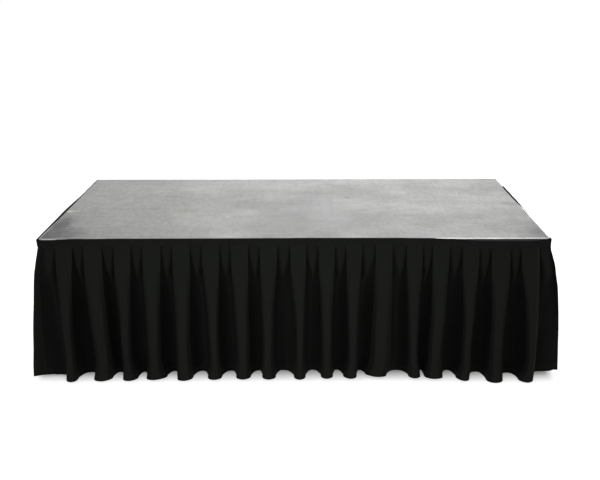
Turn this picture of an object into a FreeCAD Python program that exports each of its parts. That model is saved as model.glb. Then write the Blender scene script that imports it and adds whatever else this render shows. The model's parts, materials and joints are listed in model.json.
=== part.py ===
import FreeCAD, Part
import math
import os

# Stage riser platform: a 2 m by 1 m deck on four telescopic legs, with a box-pleated skirt on
# the front and both ends. Sizes are in millimetres.
# The origin is on the floor, under the middle of the whole object. +X runs along the deck,
# -Y is the front that the audience sees, and +Z is up. The legs are pushed in.

# Deck
deck_length = 2000.0  # over the rails, along X
deck_width = 1000.0  # over the rails, along Y
deck_height = 600.0  # floor to board top with the legs pushed in
corner_radius = 10.0  # outer corners of the rail frame

# Board
board_thickness = 12.0
board_gap = 0.5  # between the board's edge and the rim
board_screw_pitch = 480.0  # at most, between screws along a rail

# Rail section: a hollow beam with a rim round the board and a ledge under it
rail_height = 95.0
rail_width = 32.0  # the hollow beam, without ledge and lip
rail_wall = 3.0
rim_width = 5.0
ledge_reach = 56.0  # from the outer face to the ledge's free edge
ledge_thickness = 3.0
lip_reach = 44.0
web_drop = 62.0  # board top to the middle of the web between the two hollows
groove_width = 5.0  # scribed line along the outer face, level with the web
groove_depth = 1.2

# Coupling holes, which bolt the open rear rail to the next deck
coupling_radius = 6.5
coupling_spacing = 1200.0
coupling_drop = 36.0  # board top to the holes' centres

# Cross bearers under the board
bearer_spacing = 500.0
bearer_width = 40.0
bearer_height = 60.0
bearer_wall = 3.0
bearer_radius = 3.0
bearer_gap = 0.5  # at each end, to the rail
strip_thickness = 3.0  # damping strip between bearer and board
strip_width = 30.0
cleat_width = 40.0
cleat_height = 44.0
cleat_thickness = 4.0

# Corner sockets
socket_wall = 6.0
socket_clearance = 0.2  # each side of the leg tube
socket_flange_height = 64.0

# Legs
skirt_leg_gap = 24.25  # skirt's inner folds to the foot pad
outer_tube = 60.0
inner_tube = 50.0
tube_wall = 3.0
tube_radius = 3.0
tube_end_step = 16.0  # the inner tube's lower end to the outer tube's
glide_bolt_gap = 6.0  # glide to cross bolt with the leg pushed in
glide_stop_gap = 0.5  # glide to stop rivet with the leg drawn out
stop_collar_gap = 5.5  # stop rivet's head to the collar
stop_tube_gap = 0.3  # stop rivet's end to the inner tube
glide_height = 30.0
glide_cap = 3.0
glide_clearance = 0.2  # sliding fit of glide and bush, each side
bush_height = 24.0
bush_flange = 3.0
cross_bolt_drop = 7.0  # socket roof to the cross bolt's centre

# Leg collar and its clamp
collar_height = 60.0
collar_wall = 6.8
collar_boss_radius = 17.0
collar_boss_length = 16.0
clamp_rise = 39.0  # outer tube's lower end to the clamp's axis
clamp_pitch = 1.75
clamp_turns = 3.0
clamp_stud_radius = 6.0
clamp_pad_radius = 9.0
clamp_pad_thickness = 5.0
clamp_pad_gap = 0.2  # left between the pad and the inner tube
clamp_tip_radius = 4.0
clamp_tip_length = 3.0
knob_standoff = 7.0  # boss end to the knob
knob_hub_radius = 13.0
knob_hub_length = 9.0
knob_radius = 29.0
knob_lobe_radius = 9.0
knob_lobes = 5
knob_thickness = 16.0

# Levelling foot
sole_thickness = 5.0
pad_radius = 40.0
pad_edge = 6.0
pad_boss_radius = 17.0
pad_slope = 4.0  # how far the pad's top rises before the boss
pad_boss_height = 16.0  # above the pad's edge
seat_floor = 8.0  # metal under the spindle's end
spindle_radius = 8.0
spindle_spare = 10.0  # left above the nut plate when the foot is run out
hex_flats = 24.0
hex_height = 10.0
hex_gap = 1.0  # boss to hexagon
hex_tube_gap = 2.0  # hexagon to the inner tube with the foot run in
nut_plate_height = 20.0
foot_travel = 30.0
running_clearance = 0.05  # of a shaft in its hole, on the radius

# Screws
screw_clearance = 0.2  # on the radius
frame_screw_radius = 4.0
frame_screw_length = 16.0
frame_head_radius = 6.5
frame_head_height = 4.5
frame_key_flats = 5.0
board_screw_radius = 2.75
board_screw_length = 12.0
board_head_radius = 5.5
board_head_height = 2.8
board_key_flats = 3.0
collar_screw_radius = 2.5
collar_screw_length = 8.0
collar_head_radius = 4.5
collar_head_height = 2.5
nut_flats = 13.0
nut_height = 6.5

# Skirt
header_drop = 1.0  # deck edge to the header's top
header_height = 30.0
header_thickness = 2.5
tape_width = 25.0
tape_thickness = 1.2
cloth = 1.5  # two layers of skirt cloth at a fold
valley_gap = 0.3  # between the valleys and the rail
hem_clearance = 18.0  # floor to the hem
pleat_pitch = 114.0
corner_margin = 31.0  # deck corner to the middle of the first valley
pleat_panel_top = 68.0
pleat_panel_hem = 40.0
pleat_valley_top = 41.0
pleat_valley_hem = 20.0
front_swing = 58.0  # how far the folds stand out of the deck face at the hem
end_swing = 72.0
inner_swing = 50.0  # how far the valleys stand in under the deck at the hem
corner_swing = 40.0
corner_valley_swing = 14.0  # the valleys beside a corner, which have less room under the deck
swing_curve = 0.55  # below 1, the folds swing out early and then hang straight
skirt_bulge_drop = 250.0  # board top to the level that gives the bulge its shape
skirt_rail_gap = 5.0  # rail's lower edge to the level where the valleys turn inwards

# Worked out from the sizes above
pad_top = sole_thickness + pad_edge
pad_boss_top = pad_top + pad_boss_height
spindle_seat = sole_thickness + seat_floor
inner_tube_foot = pad_boss_top + hex_gap + hex_height + hex_tube_gap
outer_tube_foot = inner_tube_foot + tube_end_step
spindle_top = inner_tube_foot + nut_plate_height + foot_travel + spindle_spare
leg_inset = inner_swing + cloth / 2 + skirt_leg_gap + pad_radius
skirt_reach = front_swing + cloth / 2
deck_y = skirt_reach / 2
half_length = deck_length / 2
half_width = deck_width / 2
front_y = deck_y - half_width
rear_y = deck_y + half_width
board_bottom = deck_height - board_thickness
ledge_bottom = board_bottom - ledge_thickness
rail_bottom = deck_height - rail_height
sleeve_half = outer_tube / 2 + socket_clearance + socket_wall
socket_far = leg_inset + sleeve_half
socket_roof = ledge_bottom - socket_wall
cross_bolt_z = socket_roof - cross_bolt_drop
inner_tube_top = cross_bolt_z - frame_screw_radius - glide_bolt_gap - glide_cap
inner_tube_length = inner_tube_top - inner_tube_foot
clamp_z = outer_tube_foot + clamp_rise
leg_stop_z = outer_tube_foot + collar_height + stop_collar_gap + collar_head_radius
glide_bottom = inner_tube_top - glide_height
leg_travel = glide_bottom - glide_stop_gap - leg_stop_z - collar_screw_radius
collar_half = outer_tube / 2 + socket_clearance + collar_wall
header_back = 2 * tape_thickness
header_top = deck_height - header_drop
header_bottom = header_top - header_height

UP = FreeCAD.Vector(0, 0, 1)
ALONG_X = FreeCAD.Vector(1, 0, 0)
ALONG_Y = FreeCAD.Vector(0, 1, 0)
CORNERS = {
    "front_left": (-1, -1),
    "front_right": (1, -1),
    "rear_left": (-1, 1),
    "rear_right": (1, 1),
}


def save(node, *solids):
    """Write one node, which is one solid or a group of alike solids."""
    shape = solids[0] if len(solids) == 1 else Part.makeCompound(list(solids))
    shape.exportStep(f"parts/{node}.step")


def box(x_low, x_high, y_low, y_high, z_low, z_high):
    corner = FreeCAD.Vector(x_low, y_low, z_low)
    return Part.makeBox(x_high - x_low, y_high - y_low, z_high - z_low, corner)


def rod(radius, start, direction, length):
    return Part.makeCylinder(radius, length, start, direction)


def prism(points, direction):
    """A polygon in space, extruded."""
    return Part.Face(Part.makePolygon([*points, points[0]])).extrude(direction)


def hexagon(flats, start, direction, length):
    """A hexagonal prism across the given flats, along direction."""
    turn = FreeCAD.Rotation(UP, direction)
    points = []
    for i in range(6):
        angle = math.radians(60 * i)
        corner = FreeCAD.Vector(math.cos(angle), math.sin(angle), 0) * (flats / math.sqrt(3))
        points.append(start + turn.multVec(corner))
    return prism(points, direction * length)


def screw(seat, direction, radius, length, head_radius, head_height, key_flats):
    """A screw whose head stands on seat, with its shank along direction."""
    shank = rod(radius, seat, direction, length)
    head = rod(head_radius, seat, direction * -1, head_height)
    key_start = seat - direction * head_height
    key = hexagon(key_flats, key_start, direction, head_height * 0.6)
    return head.fuse(shank).removeSplitter().cut(key)


def frame_screw(seat, direction):
    return screw(
        seat,
        direction,
        frame_screw_radius,
        frame_screw_length,
        frame_head_radius,
        frame_head_height,
        frame_key_flats,
    )


def screw_hole(seat, direction, radius, reach):
    """A clearance hole that runs reach both ways from seat."""
    return rod(radius + screw_clearance, seat - direction * reach, direction, 2 * reach)


def square_tube(width, depth, wall, radius, length):
    """A tube with rounded corners, standing on the origin."""
    outside = box(-width / 2, width / 2, -depth / 2, depth / 2, 0, length)
    upright = [e for e in outside.Edges if abs(e.tangentAt(e.FirstParameter).z) > 0.9]
    outside = outside.makeFillet(radius, upright)
    half_x = width / 2 - wall
    half_y = depth / 2 - wall
    return outside.cut(box(-half_x, half_x, -half_y, half_y, 0, length))


def rounded_plan(inset, radius, z_low, z_high):
    """The deck's outline, set in and with round corners, as a prism."""
    x_half = half_length - inset
    y_half = half_width - inset
    prism_box = box(-x_half, x_half, deck_y - y_half, deck_y + y_half, z_low, z_high)
    upright = [e for e in prism_box.Edges if abs(e.tangentAt(e.FirstParameter).z) > 0.9]
    return prism_box.makeFillet(radius, upright)


# Frame ------------------------------------------------------------------------------------


def rail_section(origin, inward):
    """The rail's section as a face: u runs inward from the outer face, v down from the top."""

    def point(u, v):
        return origin + inward * u - UP * v

    def rectangle(u_low, u_high, v_low, v_high):
        corners = [(u_low, v_low), (u_high, v_low), (u_high, v_high), (u_low, v_high)]
        points = [point(u, v) for u, v in corners]
        return Part.Face(Part.makePolygon([*points, points[0]]))

    ledge_foot = board_thickness + ledge_thickness
    outline = [
        (0, 0),
        (rim_width, 0),
        (rim_width, board_thickness),
        (ledge_reach, board_thickness),
        (ledge_reach, ledge_foot),
        (rail_width, ledge_foot),
        (rail_width, rail_height - rail_wall),
        (lip_reach, rail_height - rail_wall),
        (lip_reach, rail_height),
        (0, rail_height),
    ]
    points = [point(u, v) for u, v in outline]
    face = Part.Face(Part.makePolygon([*points, points[0]]))
    inside = rail_width - rail_wall
    web_top = web_drop - rail_wall / 2
    web_foot = web_drop + rail_wall / 2
    cuts = [
        rectangle(rail_wall, inside, ledge_foot, web_top),
        rectangle(rail_wall, inside, web_foot, rail_height - rail_wall),
        rectangle(0, groove_depth, web_drop - groove_width / 2, web_drop + groove_width / 2),
    ]
    return face.cut(cuts).Faces[0]


def make_rails(holes):
    """Four mitred rails, keyed by side."""
    sides = {
        "front": (FreeCAD.Vector(-half_length, front_y, deck_height), ALONG_X, ALONG_Y),
        "rear": (FreeCAD.Vector(-half_length, rear_y, deck_height), ALONG_X, ALONG_Y * -1),
        "left": (FreeCAD.Vector(-half_length, front_y, deck_height), ALONG_Y, ALONG_X),
        "right": (FreeCAD.Vector(half_length, front_y, deck_height), ALONG_Y, ALONG_X * -1),
    }
    outline = rounded_plan(0, corner_radius, rail_bottom, deck_height)
    rails = {}
    for side, (origin, along, inward) in sides.items():
        length = deck_length if along == ALONG_X else deck_width
        beam = rail_section(origin, inward).extrude(along * length)
        far = origin + along * length
        reach = max(ledge_reach, lip_reach) + 1
        wedge = [origin, far, far + (inward - along) * reach, origin + (inward + along) * reach]
        mitre = prism([p - UP * rail_height for p in wedge], UP * rail_height)
        rails[side] = beam.common(mitre.common(outline)).cut(holes[side])
    return rails


def corner_point(corner, from_end, from_side, z):
    """A point given by its distances in from the two outer faces that meet at a corner."""
    x_sign, y_sign = corner
    x = x_sign * (half_length - from_end)
    y = deck_y + y_sign * (half_width - from_side)
    return FreeCAD.Vector(x, y, z)


def corner_box(corner, end_from, end_to, side_from, side_to, z_low, z_high):
    a = corner_point(corner, end_from, side_from, z_low)
    b = corner_point(corner, end_to, side_to, z_high)
    return box(min(a.x, b.x), max(a.x, b.x), min(a.y, b.y), max(a.y, b.y), z_low, z_high)


def socket_screw_seats(corner):
    """Seats of the screws through the two flanges, with the way each one points."""
    x_sign, y_sign = corner
    flange_face = rail_width + socket_wall
    near = (rail_width + leg_inset - sleeve_half) / 2 + socket_wall
    z = socket_roof - socket_flange_height / 2
    seats = []
    for along in (near, leg_inset):
        side_seat = corner_point(corner, along, flange_face, z)
        end_seat = corner_point(corner, flange_face, along, z)
        seats.append(("side", side_seat, ALONG_Y * y_sign))
        seats.append(("end", end_seat, ALONG_X * x_sign))
    return seats


def cross_bolt_start(corner):
    """Where the leg's cross bolt has its head: on the sleeve's inboard face."""
    return corner_point(corner, leg_inset, socket_far, cross_bolt_z)


def make_socket(corner):
    """Cast corner: a sleeve for the leg, a roof, and webs to a flange on each rail."""
    flange = rail_width + socket_wall
    sleeve_near = leg_inset - sleeve_half
    flange_foot = socket_roof - socket_flange_height
    leg_hole = outer_tube / 2 + socket_clearance
    roof = corner_box(
        corner, rail_width, socket_far, rail_width, socket_far, socket_roof, ledge_bottom
    )
    solids = [
        corner_box(
            corner, sleeve_near, socket_far, sleeve_near, socket_far, rail_bottom, socket_roof
        ),
        corner_box(corner, rail_width, socket_far, rail_width, flange, flange_foot, socket_roof),
        corner_box(corner, rail_width, flange, rail_width, socket_far, flange_foot, socket_roof),
    ]
    for start in (sleeve_near, socket_far - socket_wall):
        end = start + socket_wall
        solids.append(
            corner_box(corner, start, end, flange, sleeve_near, flange_foot, socket_roof)
        )
        solids.append(
            corner_box(corner, flange, sleeve_near, start, end, flange_foot, socket_roof)
        )
    casting = roof.multiFuse(solids).removeSplitter()
    well = corner_box(
        corner,
        leg_inset - leg_hole,
        leg_inset + leg_hole,
        leg_inset - leg_hole,
        leg_inset + leg_hole,
        rail_bottom,
        socket_roof,
    )
    casting = casting.cut(well)
    for _, seat, direction in socket_screw_seats(corner):
        casting = casting.cut(
            screw_hole(seat, direction, frame_screw_radius, socket_wall + frame_head_height)
        )
    direction = ALONG_Y * corner[1]
    bolt_hole = rod(
        frame_screw_radius + screw_clearance,
        cross_bolt_start(corner) - direction,
        direction,
        2 * sleeve_half + 2,
    )
    return casting.cut(bolt_hole)


def bearer_places():
    """X of each cross bearer, evenly about the middle and clear of the corner sockets."""
    room = half_length - socket_far - bearer_width
    each_way = int(room // bearer_spacing)
    return [bearer_spacing * i for i in range(-each_way, each_way + 1)]


def make_bearer(x):
    length = deck_width - 2 * (rail_width + bearer_gap)
    tube = square_tube(bearer_width, bearer_height, bearer_wall, bearer_radius, length)
    tube.rotate(FreeCAD.Vector(0, 0, 0), ALONG_X, -90)
    tube.translate(
        FreeCAD.Vector(x, deck_y - length / 2, ledge_bottom - bearer_height / 2)
    )
    for end, sign, seat, direction in cleat_screw_seats(x):
        if end == "bearer":
            tube = tube.cut(screw_hole(seat, direction, frame_screw_radius, frame_screw_length))
    return tube


def cleat_screw_seats(x):
    """Both screws of each of a bearer's four cleats, as (where, end, seat, direction)."""
    z = ledge_bottom - bearer_height / 2
    seats = []
    for end in (-1, 1):
        rail_face = deck_y + end * (half_width - rail_width)
        for side in (-1, 1):
            along = cleat_thickness + (cleat_width - cleat_thickness) / 2
            bearer_face = x + side * bearer_width / 2
            on_bearer = FreeCAD.Vector(
                bearer_face + side * cleat_thickness, rail_face - end * along, z
            )
            on_rail = FreeCAD.Vector(
                bearer_face + side * along, rail_face - end * cleat_thickness, z
            )
            seats.append(("bearer", end, on_bearer, ALONG_X * -side))
            seats.append(("rail", end, on_rail, ALONG_Y * end))
    return seats


def make_cleats(x):
    """The four angle cleats that hang one bearer between the long rails."""
    cleats = []
    z_middle = ledge_bottom - bearer_height / 2
    z_low = z_middle - cleat_height / 2
    z_high = z_middle + cleat_height / 2
    for end in (-1, 1):
        rail_face = deck_y + end * (half_width - rail_width)
        for side in (-1, 1):
            bearer_face = x + side * bearer_width / 2
            x_far = bearer_face + side * cleat_width
            x_thin = bearer_face + side * cleat_thickness
            y_far = rail_face - end * cleat_width
            y_thin = rail_face - end * cleat_thickness
            plan = [
                (bearer_face, rail_face),
                (x_far, rail_face),
                (x_far, y_thin),
                (x_thin, y_thin),
                (x_thin, y_far),
                (bearer_face, y_far),
            ]
            points = [FreeCAD.Vector(px, py, z_low) for px, py in plan]
            cleats.append(prism(points, UP * (z_high - z_low)))
    for i, cleat in enumerate(cleats):
        for _, _, seat, direction in cleat_screw_seats(x)[2 * i : 2 * i + 2]:
            cleats[i] = cleats[i].cut(
                screw_hole(seat, direction, frame_screw_radius, 2 * cleat_thickness)
            )
    return cleats


def board_screw_places():
    """Screw places under the ledge, as (rail, x, y), clear of sockets and bearers."""
    middle = (rail_width + ledge_reach) / 2
    places = []
    for rail, length, y_sign in (("front", deck_length, -1), ("rear", deck_length, 1)):
        room = length - 2 * (socket_far + board_head_radius * 3)
        count = 2 * math.ceil(room / board_screw_pitch / 2)
        for i in range(count):
            x = room * ((i + 0.5) / count - 0.5)
            if any(abs(x - b) < bearer_width for b in bearer_places()):
                x += bearer_width
            places.append((rail, x, deck_y + y_sign * (half_width - middle)))
    for rail, x_sign in (("left", -1), ("right", 1)):
        room = deck_width - 2 * (socket_far + board_head_radius * 3)
        count = max(2, math.ceil(room / board_screw_pitch))
        for i in range(count):
            y = deck_y + room * ((i + 0.5) / count - 0.5)
            places.append((rail, x_sign * (half_length - middle), y))
    return places


def board_screw_seat(x, y):
    return FreeCAD.Vector(x, y, ledge_bottom)


def make_board():
    inset = rim_width + board_gap
    board = rounded_plan(inset, corner_radius - inset, board_bottom, deck_height)
    for _, x, y in board_screw_places():
        hole_start = board_screw_seat(x, y)
        radius = board_screw_radius + running_clearance
        board = board.cut(rod(radius, hole_start, UP, board_screw_length))
    return board


def rail_holes():
    """Everything that is drilled in the rails, keyed by side."""
    holes = {"front": [], "rear": [], "left": [], "right": []}
    for (x_sign, y_sign) in CORNERS.values():
        for wall, seat, direction in socket_screw_seats((x_sign, y_sign)):
            side = "front" if y_sign < 0 else "rear"
            end = "left" if x_sign < 0 else "right"
            hole = screw_hole(seat, direction, frame_screw_radius, frame_screw_length)
            holes[side if wall == "side" else end].append(hole)
    for x in bearer_places():
        for where, end, seat, direction in cleat_screw_seats(x):
            if where == "rail":
                side = "front" if end < 0 else "rear"
                holes[side].append(
                    screw_hole(seat, direction, frame_screw_radius, frame_screw_length)
                )
    for side, x, y in board_screw_places():
        seat = board_screw_seat(x, y)
        holes[side].append(screw_hole(seat, UP, board_screw_radius, board_screw_length))
    for x in (-coupling_spacing / 2, coupling_spacing / 2):
        start = FreeCAD.Vector(x, rear_y + 1, deck_height - coupling_drop)
        holes["rear"].append(rod(coupling_radius, start, ALONG_Y * -1, rail_width + 2))
    return holes


def build_frame():
    """Board, rails, sockets, bearers and their fasteners."""
    save("deck_board", make_board())
    for side, rail in make_rails(rail_holes()).items():
        save(f"rail_{side}", rail)
    socket_screws = []
    for name, corner in CORNERS.items():
        save(f"corner_socket_{name}", make_socket(corner))
        for _, seat, direction in socket_screw_seats(corner):
            socket_screws.append(frame_screw(seat, direction))
    save("socket_screws", *socket_screws)

    cleat_screws = []
    cleats = []
    strips = []
    for x in bearer_places():
        cleats += make_cleats(x)
        cleat_screws += [frame_screw(seat, way) for _, _, seat, way in cleat_screw_seats(x)]
        y_half = half_width - ledge_reach - bearer_gap
        strips.append(
            box(
                x - strip_width / 2,
                x + strip_width / 2,
                deck_y - y_half,
                deck_y + y_half,
                ledge_bottom,
                ledge_bottom + strip_thickness,
            )
        )
    save("cross_bearers", *[make_bearer(x) for x in bearer_places()])
    save("bearer_cleats", *cleats)
    save("cleat_screws", *cleat_screws)
    save("damping_strips", *strips)
    board_screws = []
    for _, x, y in board_screw_places():
        board_screws.append(
            screw(
                board_screw_seat(x, y),
                UP,
                board_screw_radius,
                board_screw_length,
                board_head_radius,
                board_head_height,
                board_key_flats,
            )
        )
    save("board_screws", *board_screws)


# Legs ---------------------------------------------------------------------------------------


def leg_axis(corner, z):
    return corner_point(corner, leg_inset, leg_inset, z)


def inboard(corner):
    """The way along X from a leg towards the deck's middle, where its clamp points."""
    return ALONG_X * -corner[0]


def clamp_point(corner, reach):
    """A point on the clamp's axis, reach out from the leg's axis."""
    return leg_axis(corner, clamp_z) + inboard(corner) * reach


def placed(shape, corner, z):
    shape.translate(leg_axis(corner, z))
    return shape


def make_outer_tube(corner):
    length = socket_roof - outer_tube_foot
    tube = square_tube(outer_tube, outer_tube, tube_wall, tube_radius, length)
    tube = placed(tube, corner, outer_tube_foot)
    clamp_window = clamp_pad_radius + 1.0
    tube = tube.cut(rod(clamp_window, clamp_point(corner, 0), inboard(corner), outer_tube))
    direction = ALONG_Y * corner[1]
    bolt_radius = frame_screw_radius + screw_clearance
    tube = tube.cut(rod(bolt_radius, cross_bolt_start(corner), direction, 2 * sleeve_half))
    for seat, way in collar_screw_seats(corner):
        tube = tube.cut(screw_hole(seat, way, collar_screw_radius, collar_screw_length + 1))
    stop_seat = leg_stop_seat(corner)
    return tube.cut(screw_hole(stop_seat, inboard(corner), collar_screw_radius, tube_wall + 1))


def make_cross_bolt(corner):
    """The bolt that holds a leg in its socket, with its nut."""
    direction = ALONG_Y * corner[1]
    seat = cross_bolt_start(corner)
    bolt = screw(
        seat,
        direction,
        frame_screw_radius,
        2 * sleeve_half + nut_height + 3.0,
        frame_head_radius,
        frame_head_height,
        frame_key_flats,
    )
    nut_start = seat + direction * 2 * sleeve_half
    nut = hexagon(nut_flats, nut_start, direction, nut_height)
    bore = frame_screw_radius + running_clearance
    return [bolt, nut.cut(rod(bore, nut_start, direction, nut_height))]


def collar_screw_seats(corner):
    """Two screws on the collar's outboard face, which fix it to the outer tube."""
    seats = []
    for rise in (collar_height * 0.3, collar_height * 0.75):
        seat = leg_axis(corner, outer_tube_foot + rise) - inboard(corner) * collar_half
        seats.append((seat, inboard(corner)))
    return seats


def leg_stop_seat(corner):
    """Where the stop rivet's head stands: on the outer tube's outboard face."""
    return leg_axis(corner, leg_stop_z) - inboard(corner) * (outer_tube / 2)


def make_leg_stop(corner):
    """Rivet that stops the glide, so that the inner tube can't be drawn out."""
    length = (outer_tube - inner_tube) / 2 - stop_tube_gap
    way = inboard(corner)
    shank = rod(collar_screw_radius, leg_stop_seat(corner), way, length)
    head = rod(collar_head_radius, leg_stop_seat(corner), way * -1, collar_head_height)
    return shank.fuse(head).removeSplitter()


def make_collar(corner):
    """Clamp collar: a sleeve on the outer tube with a threaded boss."""
    size = 2 * collar_half
    collar = square_tube(size, size, collar_wall, tube_radius + 2.0, collar_height)
    collar = placed(collar, corner, outer_tube_foot)
    way = inboard(corner)
    boss = rod(collar_boss_radius, clamp_point(corner, collar_half), way, collar_boss_length)
    collar = collar.fuse(boss)
    pad_room = outer_tube / 2 + clamp_pad_thickness + clamp_pitch * clamp_turns
    collar = collar.cut(
        rod(clamp_pad_radius + 1.0, clamp_point(corner, 0), way, pad_room + clamp_pad_gap)
    )
    bore = clamp_stud_radius + running_clearance
    reach = collar_half + collar_boss_length
    collar = collar.cut(rod(bore, clamp_point(corner, 0), way, reach))
    for seat, screw_way in collar_screw_seats(corner):
        collar = collar.cut(
            screw_hole(seat, screw_way, collar_screw_radius, collar_wall + socket_clearance)
        )
    return collar


def make_bush(corner):
    """Nylon liner in the outer tube's mouth, with a flange under its end."""
    bore = inner_tube + 2 * glide_clearance
    inside = outer_tube - 2 * tube_wall
    liner = box(
        -inside / 2, inside / 2, -inside / 2, inside / 2, bush_flange, bush_flange + bush_height
    )
    flange = box(-outer_tube / 2, outer_tube / 2, -outer_tube / 2, outer_tube / 2, 0, bush_flange)
    hole = box(-bore / 2, bore / 2, -bore / 2, bore / 2, 0, bush_flange + bush_height)
    bush = flange.fuse(liner).removeSplitter().cut(hole)
    return placed(bush, corner, outer_tube_foot - bush_flange)


def make_inner_tube(corner):
    """Inner tube with the nut plate welded in its lower end."""
    tube = square_tube(inner_tube, inner_tube, tube_wall, tube_radius, inner_tube_length)
    half = inner_tube / 2 - tube_wall
    plate = box(-half, half, -half, half, 0, nut_plate_height)
    tube = tube.fuse(plate).removeSplitter()
    bore = spindle_radius + running_clearance
    tube = tube.cut(rod(bore, FreeCAD.Vector(0, 0, 0), UP, nut_plate_height))
    return placed(tube, corner, inner_tube_foot)


def make_glide(corner):
    """Nylon cap on the inner tube's top, which slides in the outer tube."""
    outside = outer_tube / 2 - tube_wall - glide_clearance
    inside = inner_tube / 2
    high = inner_tube_top + glide_cap
    cap = box(-outside, outside, -outside, outside, glide_bottom, high)
    cap = cap.cut(box(-inside, inside, -inside, inside, glide_bottom, inner_tube_top))
    return placed(cap, corner, 0)


def make_clamp_pad(corner):
    """Pressure disc with a seat for the stud's tip."""
    start = inner_tube / 2 + clamp_pad_gap
    way = inboard(corner)
    disc = rod(clamp_pad_radius, clamp_point(corner, start), way, clamp_pad_thickness)
    seat_start = clamp_point(corner, start + clamp_pad_thickness - clamp_tip_length)
    seat = rod(clamp_tip_radius + running_clearance, seat_start, way, clamp_tip_length)
    return disc.cut(seat)


def make_clamp_knob(corner):
    """Star knob with its threaded stud."""
    way = inboard(corner)
    pad_back = inner_tube / 2 + clamp_pad_gap + clamp_pad_thickness
    hub_start = collar_half + collar_boss_length + knob_standoff
    star_start = hub_start + knob_hub_length
    tip = rod(
        clamp_tip_radius, clamp_point(corner, pad_back - clamp_tip_length), way, clamp_tip_length
    )
    stud = rod(clamp_stud_radius, clamp_point(corner, pad_back), way, hub_start - pad_back)
    hub = rod(knob_hub_radius, clamp_point(corner, hub_start), way, knob_hub_length)
    core = rod(
        knob_radius - knob_lobe_radius, clamp_point(corner, star_start), way, knob_thickness
    )
    lobes = []
    for i in range(knob_lobes):
        angle = math.radians(90 + 360 * i / knob_lobes)
        reach = knob_radius - knob_lobe_radius
        offset = FreeCAD.Vector(0, math.cos(angle) * reach, math.sin(angle) * reach)
        lobe_start = clamp_point(corner, star_start) + offset
        lobes.append(rod(knob_lobe_radius, lobe_start, way, knob_thickness))
    return tip.multiFuse([stud, hub, core, *lobes]).removeSplitter()


def make_spindle(corner):
    """Levelling spindle: a threaded rod with a hexagon for the spanner."""
    shaft = rod(spindle_radius, leg_axis(corner, spindle_seat), UP, spindle_top - spindle_seat)
    nut = hexagon(hex_flats, leg_axis(corner, pad_boss_top + hex_gap), UP, hex_height)
    return shaft.fuse(nut).removeSplitter()


def make_foot_pad(corner):
    """Foot plate with a raised boss that holds the spindle's end."""
    seat_radius = spindle_radius + running_clearance
    outline = [
        (0, sole_thickness),
        (pad_radius, sole_thickness),
        (pad_radius, pad_top),
        (pad_boss_radius + pad_slope, pad_top + pad_slope),
        (pad_boss_radius, pad_boss_top),
        (seat_radius, pad_boss_top),
        (seat_radius, spindle_seat),
        (0, spindle_seat),
    ]
    points = [FreeCAD.Vector(r, 0, z) for r, z in outline]
    face = Part.Face(Part.makePolygon([*points, points[0]]))
    return placed(face.revolve(FreeCAD.Vector(0, 0, 0), UP, 360), corner, 0)


def build_legs():
    """The four telescopic legs with their clamps and levelling feet."""
    cross_bolts = []
    collars = []
    collar_screws = []
    bushes = []
    stops = []
    for name, corner in CORNERS.items():
        save(f"leg_outer_{name}", make_outer_tube(corner))
        save(f"leg_inner_{name}", make_inner_tube(corner))
        save(f"leg_glide_{name}", make_glide(corner))
        save(f"clamp_pad_{name}", make_clamp_pad(corner))
        save(f"clamp_knob_{name}", make_clamp_knob(corner))
        save(f"foot_spindle_{name}", make_spindle(corner))
        save(f"foot_pad_{name}", make_foot_pad(corner))
        save(f"foot_sole_{name}", rod(pad_radius, leg_axis(corner, 0), UP, sole_thickness))
        cross_bolts += make_cross_bolt(corner)
        collars.append(make_collar(corner))
        bushes.append(make_bush(corner))
        stops.append(make_leg_stop(corner))
        for seat, way in collar_screw_seats(corner):
            collar_screws.append(
                screw(
                    seat,
                    way,
                    collar_screw_radius,
                    collar_screw_length,
                    collar_head_radius,
                    collar_head_height,
                    board_key_flats,
                )
            )
    save("leg_cross_bolts", *cross_bolts)
    save("leg_collars", *collars)
    save("collar_screws", *collar_screws)
    save("leg_bushes", *bushes)
    save("leg_stops", *stops)


# Skirt --------------------------------------------------------------------------------------


class SkirtSide:
    """One side that carries the skirt, from its left end to its right, seen from outside.

    A point on it is given by along, from the side's left end, and out, from the deck's face.
    """

    def __init__(self, name, start, way, outward, length, swing, corner_left, corner_right):
        self.name = name
        self.start = start
        self.way = way
        self.outward = outward
        self.length = length
        self.swing = swing
        self.corner_left = corner_left
        self.corner_right = corner_right

    def point(self, along, out, z):
        return self.start + self.way * along + self.outward * out + UP * z


SKIRT_SIDES = [
    SkirtSide(
        "front",
        FreeCAD.Vector(-half_length, front_y, 0),
        ALONG_X,
        ALONG_Y * -1,
        deck_length,
        front_swing,
        True,
        True,
    ),
    SkirtSide(
        "left",
        FreeCAD.Vector(-half_length, rear_y, 0),
        ALONG_Y * -1,
        ALONG_X * -1,
        deck_width,
        end_swing,
        False,
        True,
    ),
    SkirtSide(
        "right",
        FreeCAD.Vector(half_length, front_y, 0),
        ALONG_Y,
        ALONG_X,
        deck_width,
        end_swing,
        True,
        False,
    ),
]


def make_band(side, out_low, out_high, z_low, z_high):
    """A flat band along a side, mitred where it meets the next side's band."""
    left_low = out_low if side.corner_left else 0
    left_high = out_high if side.corner_left else 0
    right_low = out_low if side.corner_right else 0
    right_high = out_high if side.corner_right else 0
    plan = [
        side.point(-left_low, out_low, z_low),
        side.point(side.length + right_low, out_low, z_low),
        side.point(side.length + right_high, out_high, z_low),
        side.point(-left_high, out_high, z_low),
    ]
    return prism(plan, UP * (z_high - z_low))


def blend(start, end, share):
    return start + (end - start) * share


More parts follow.
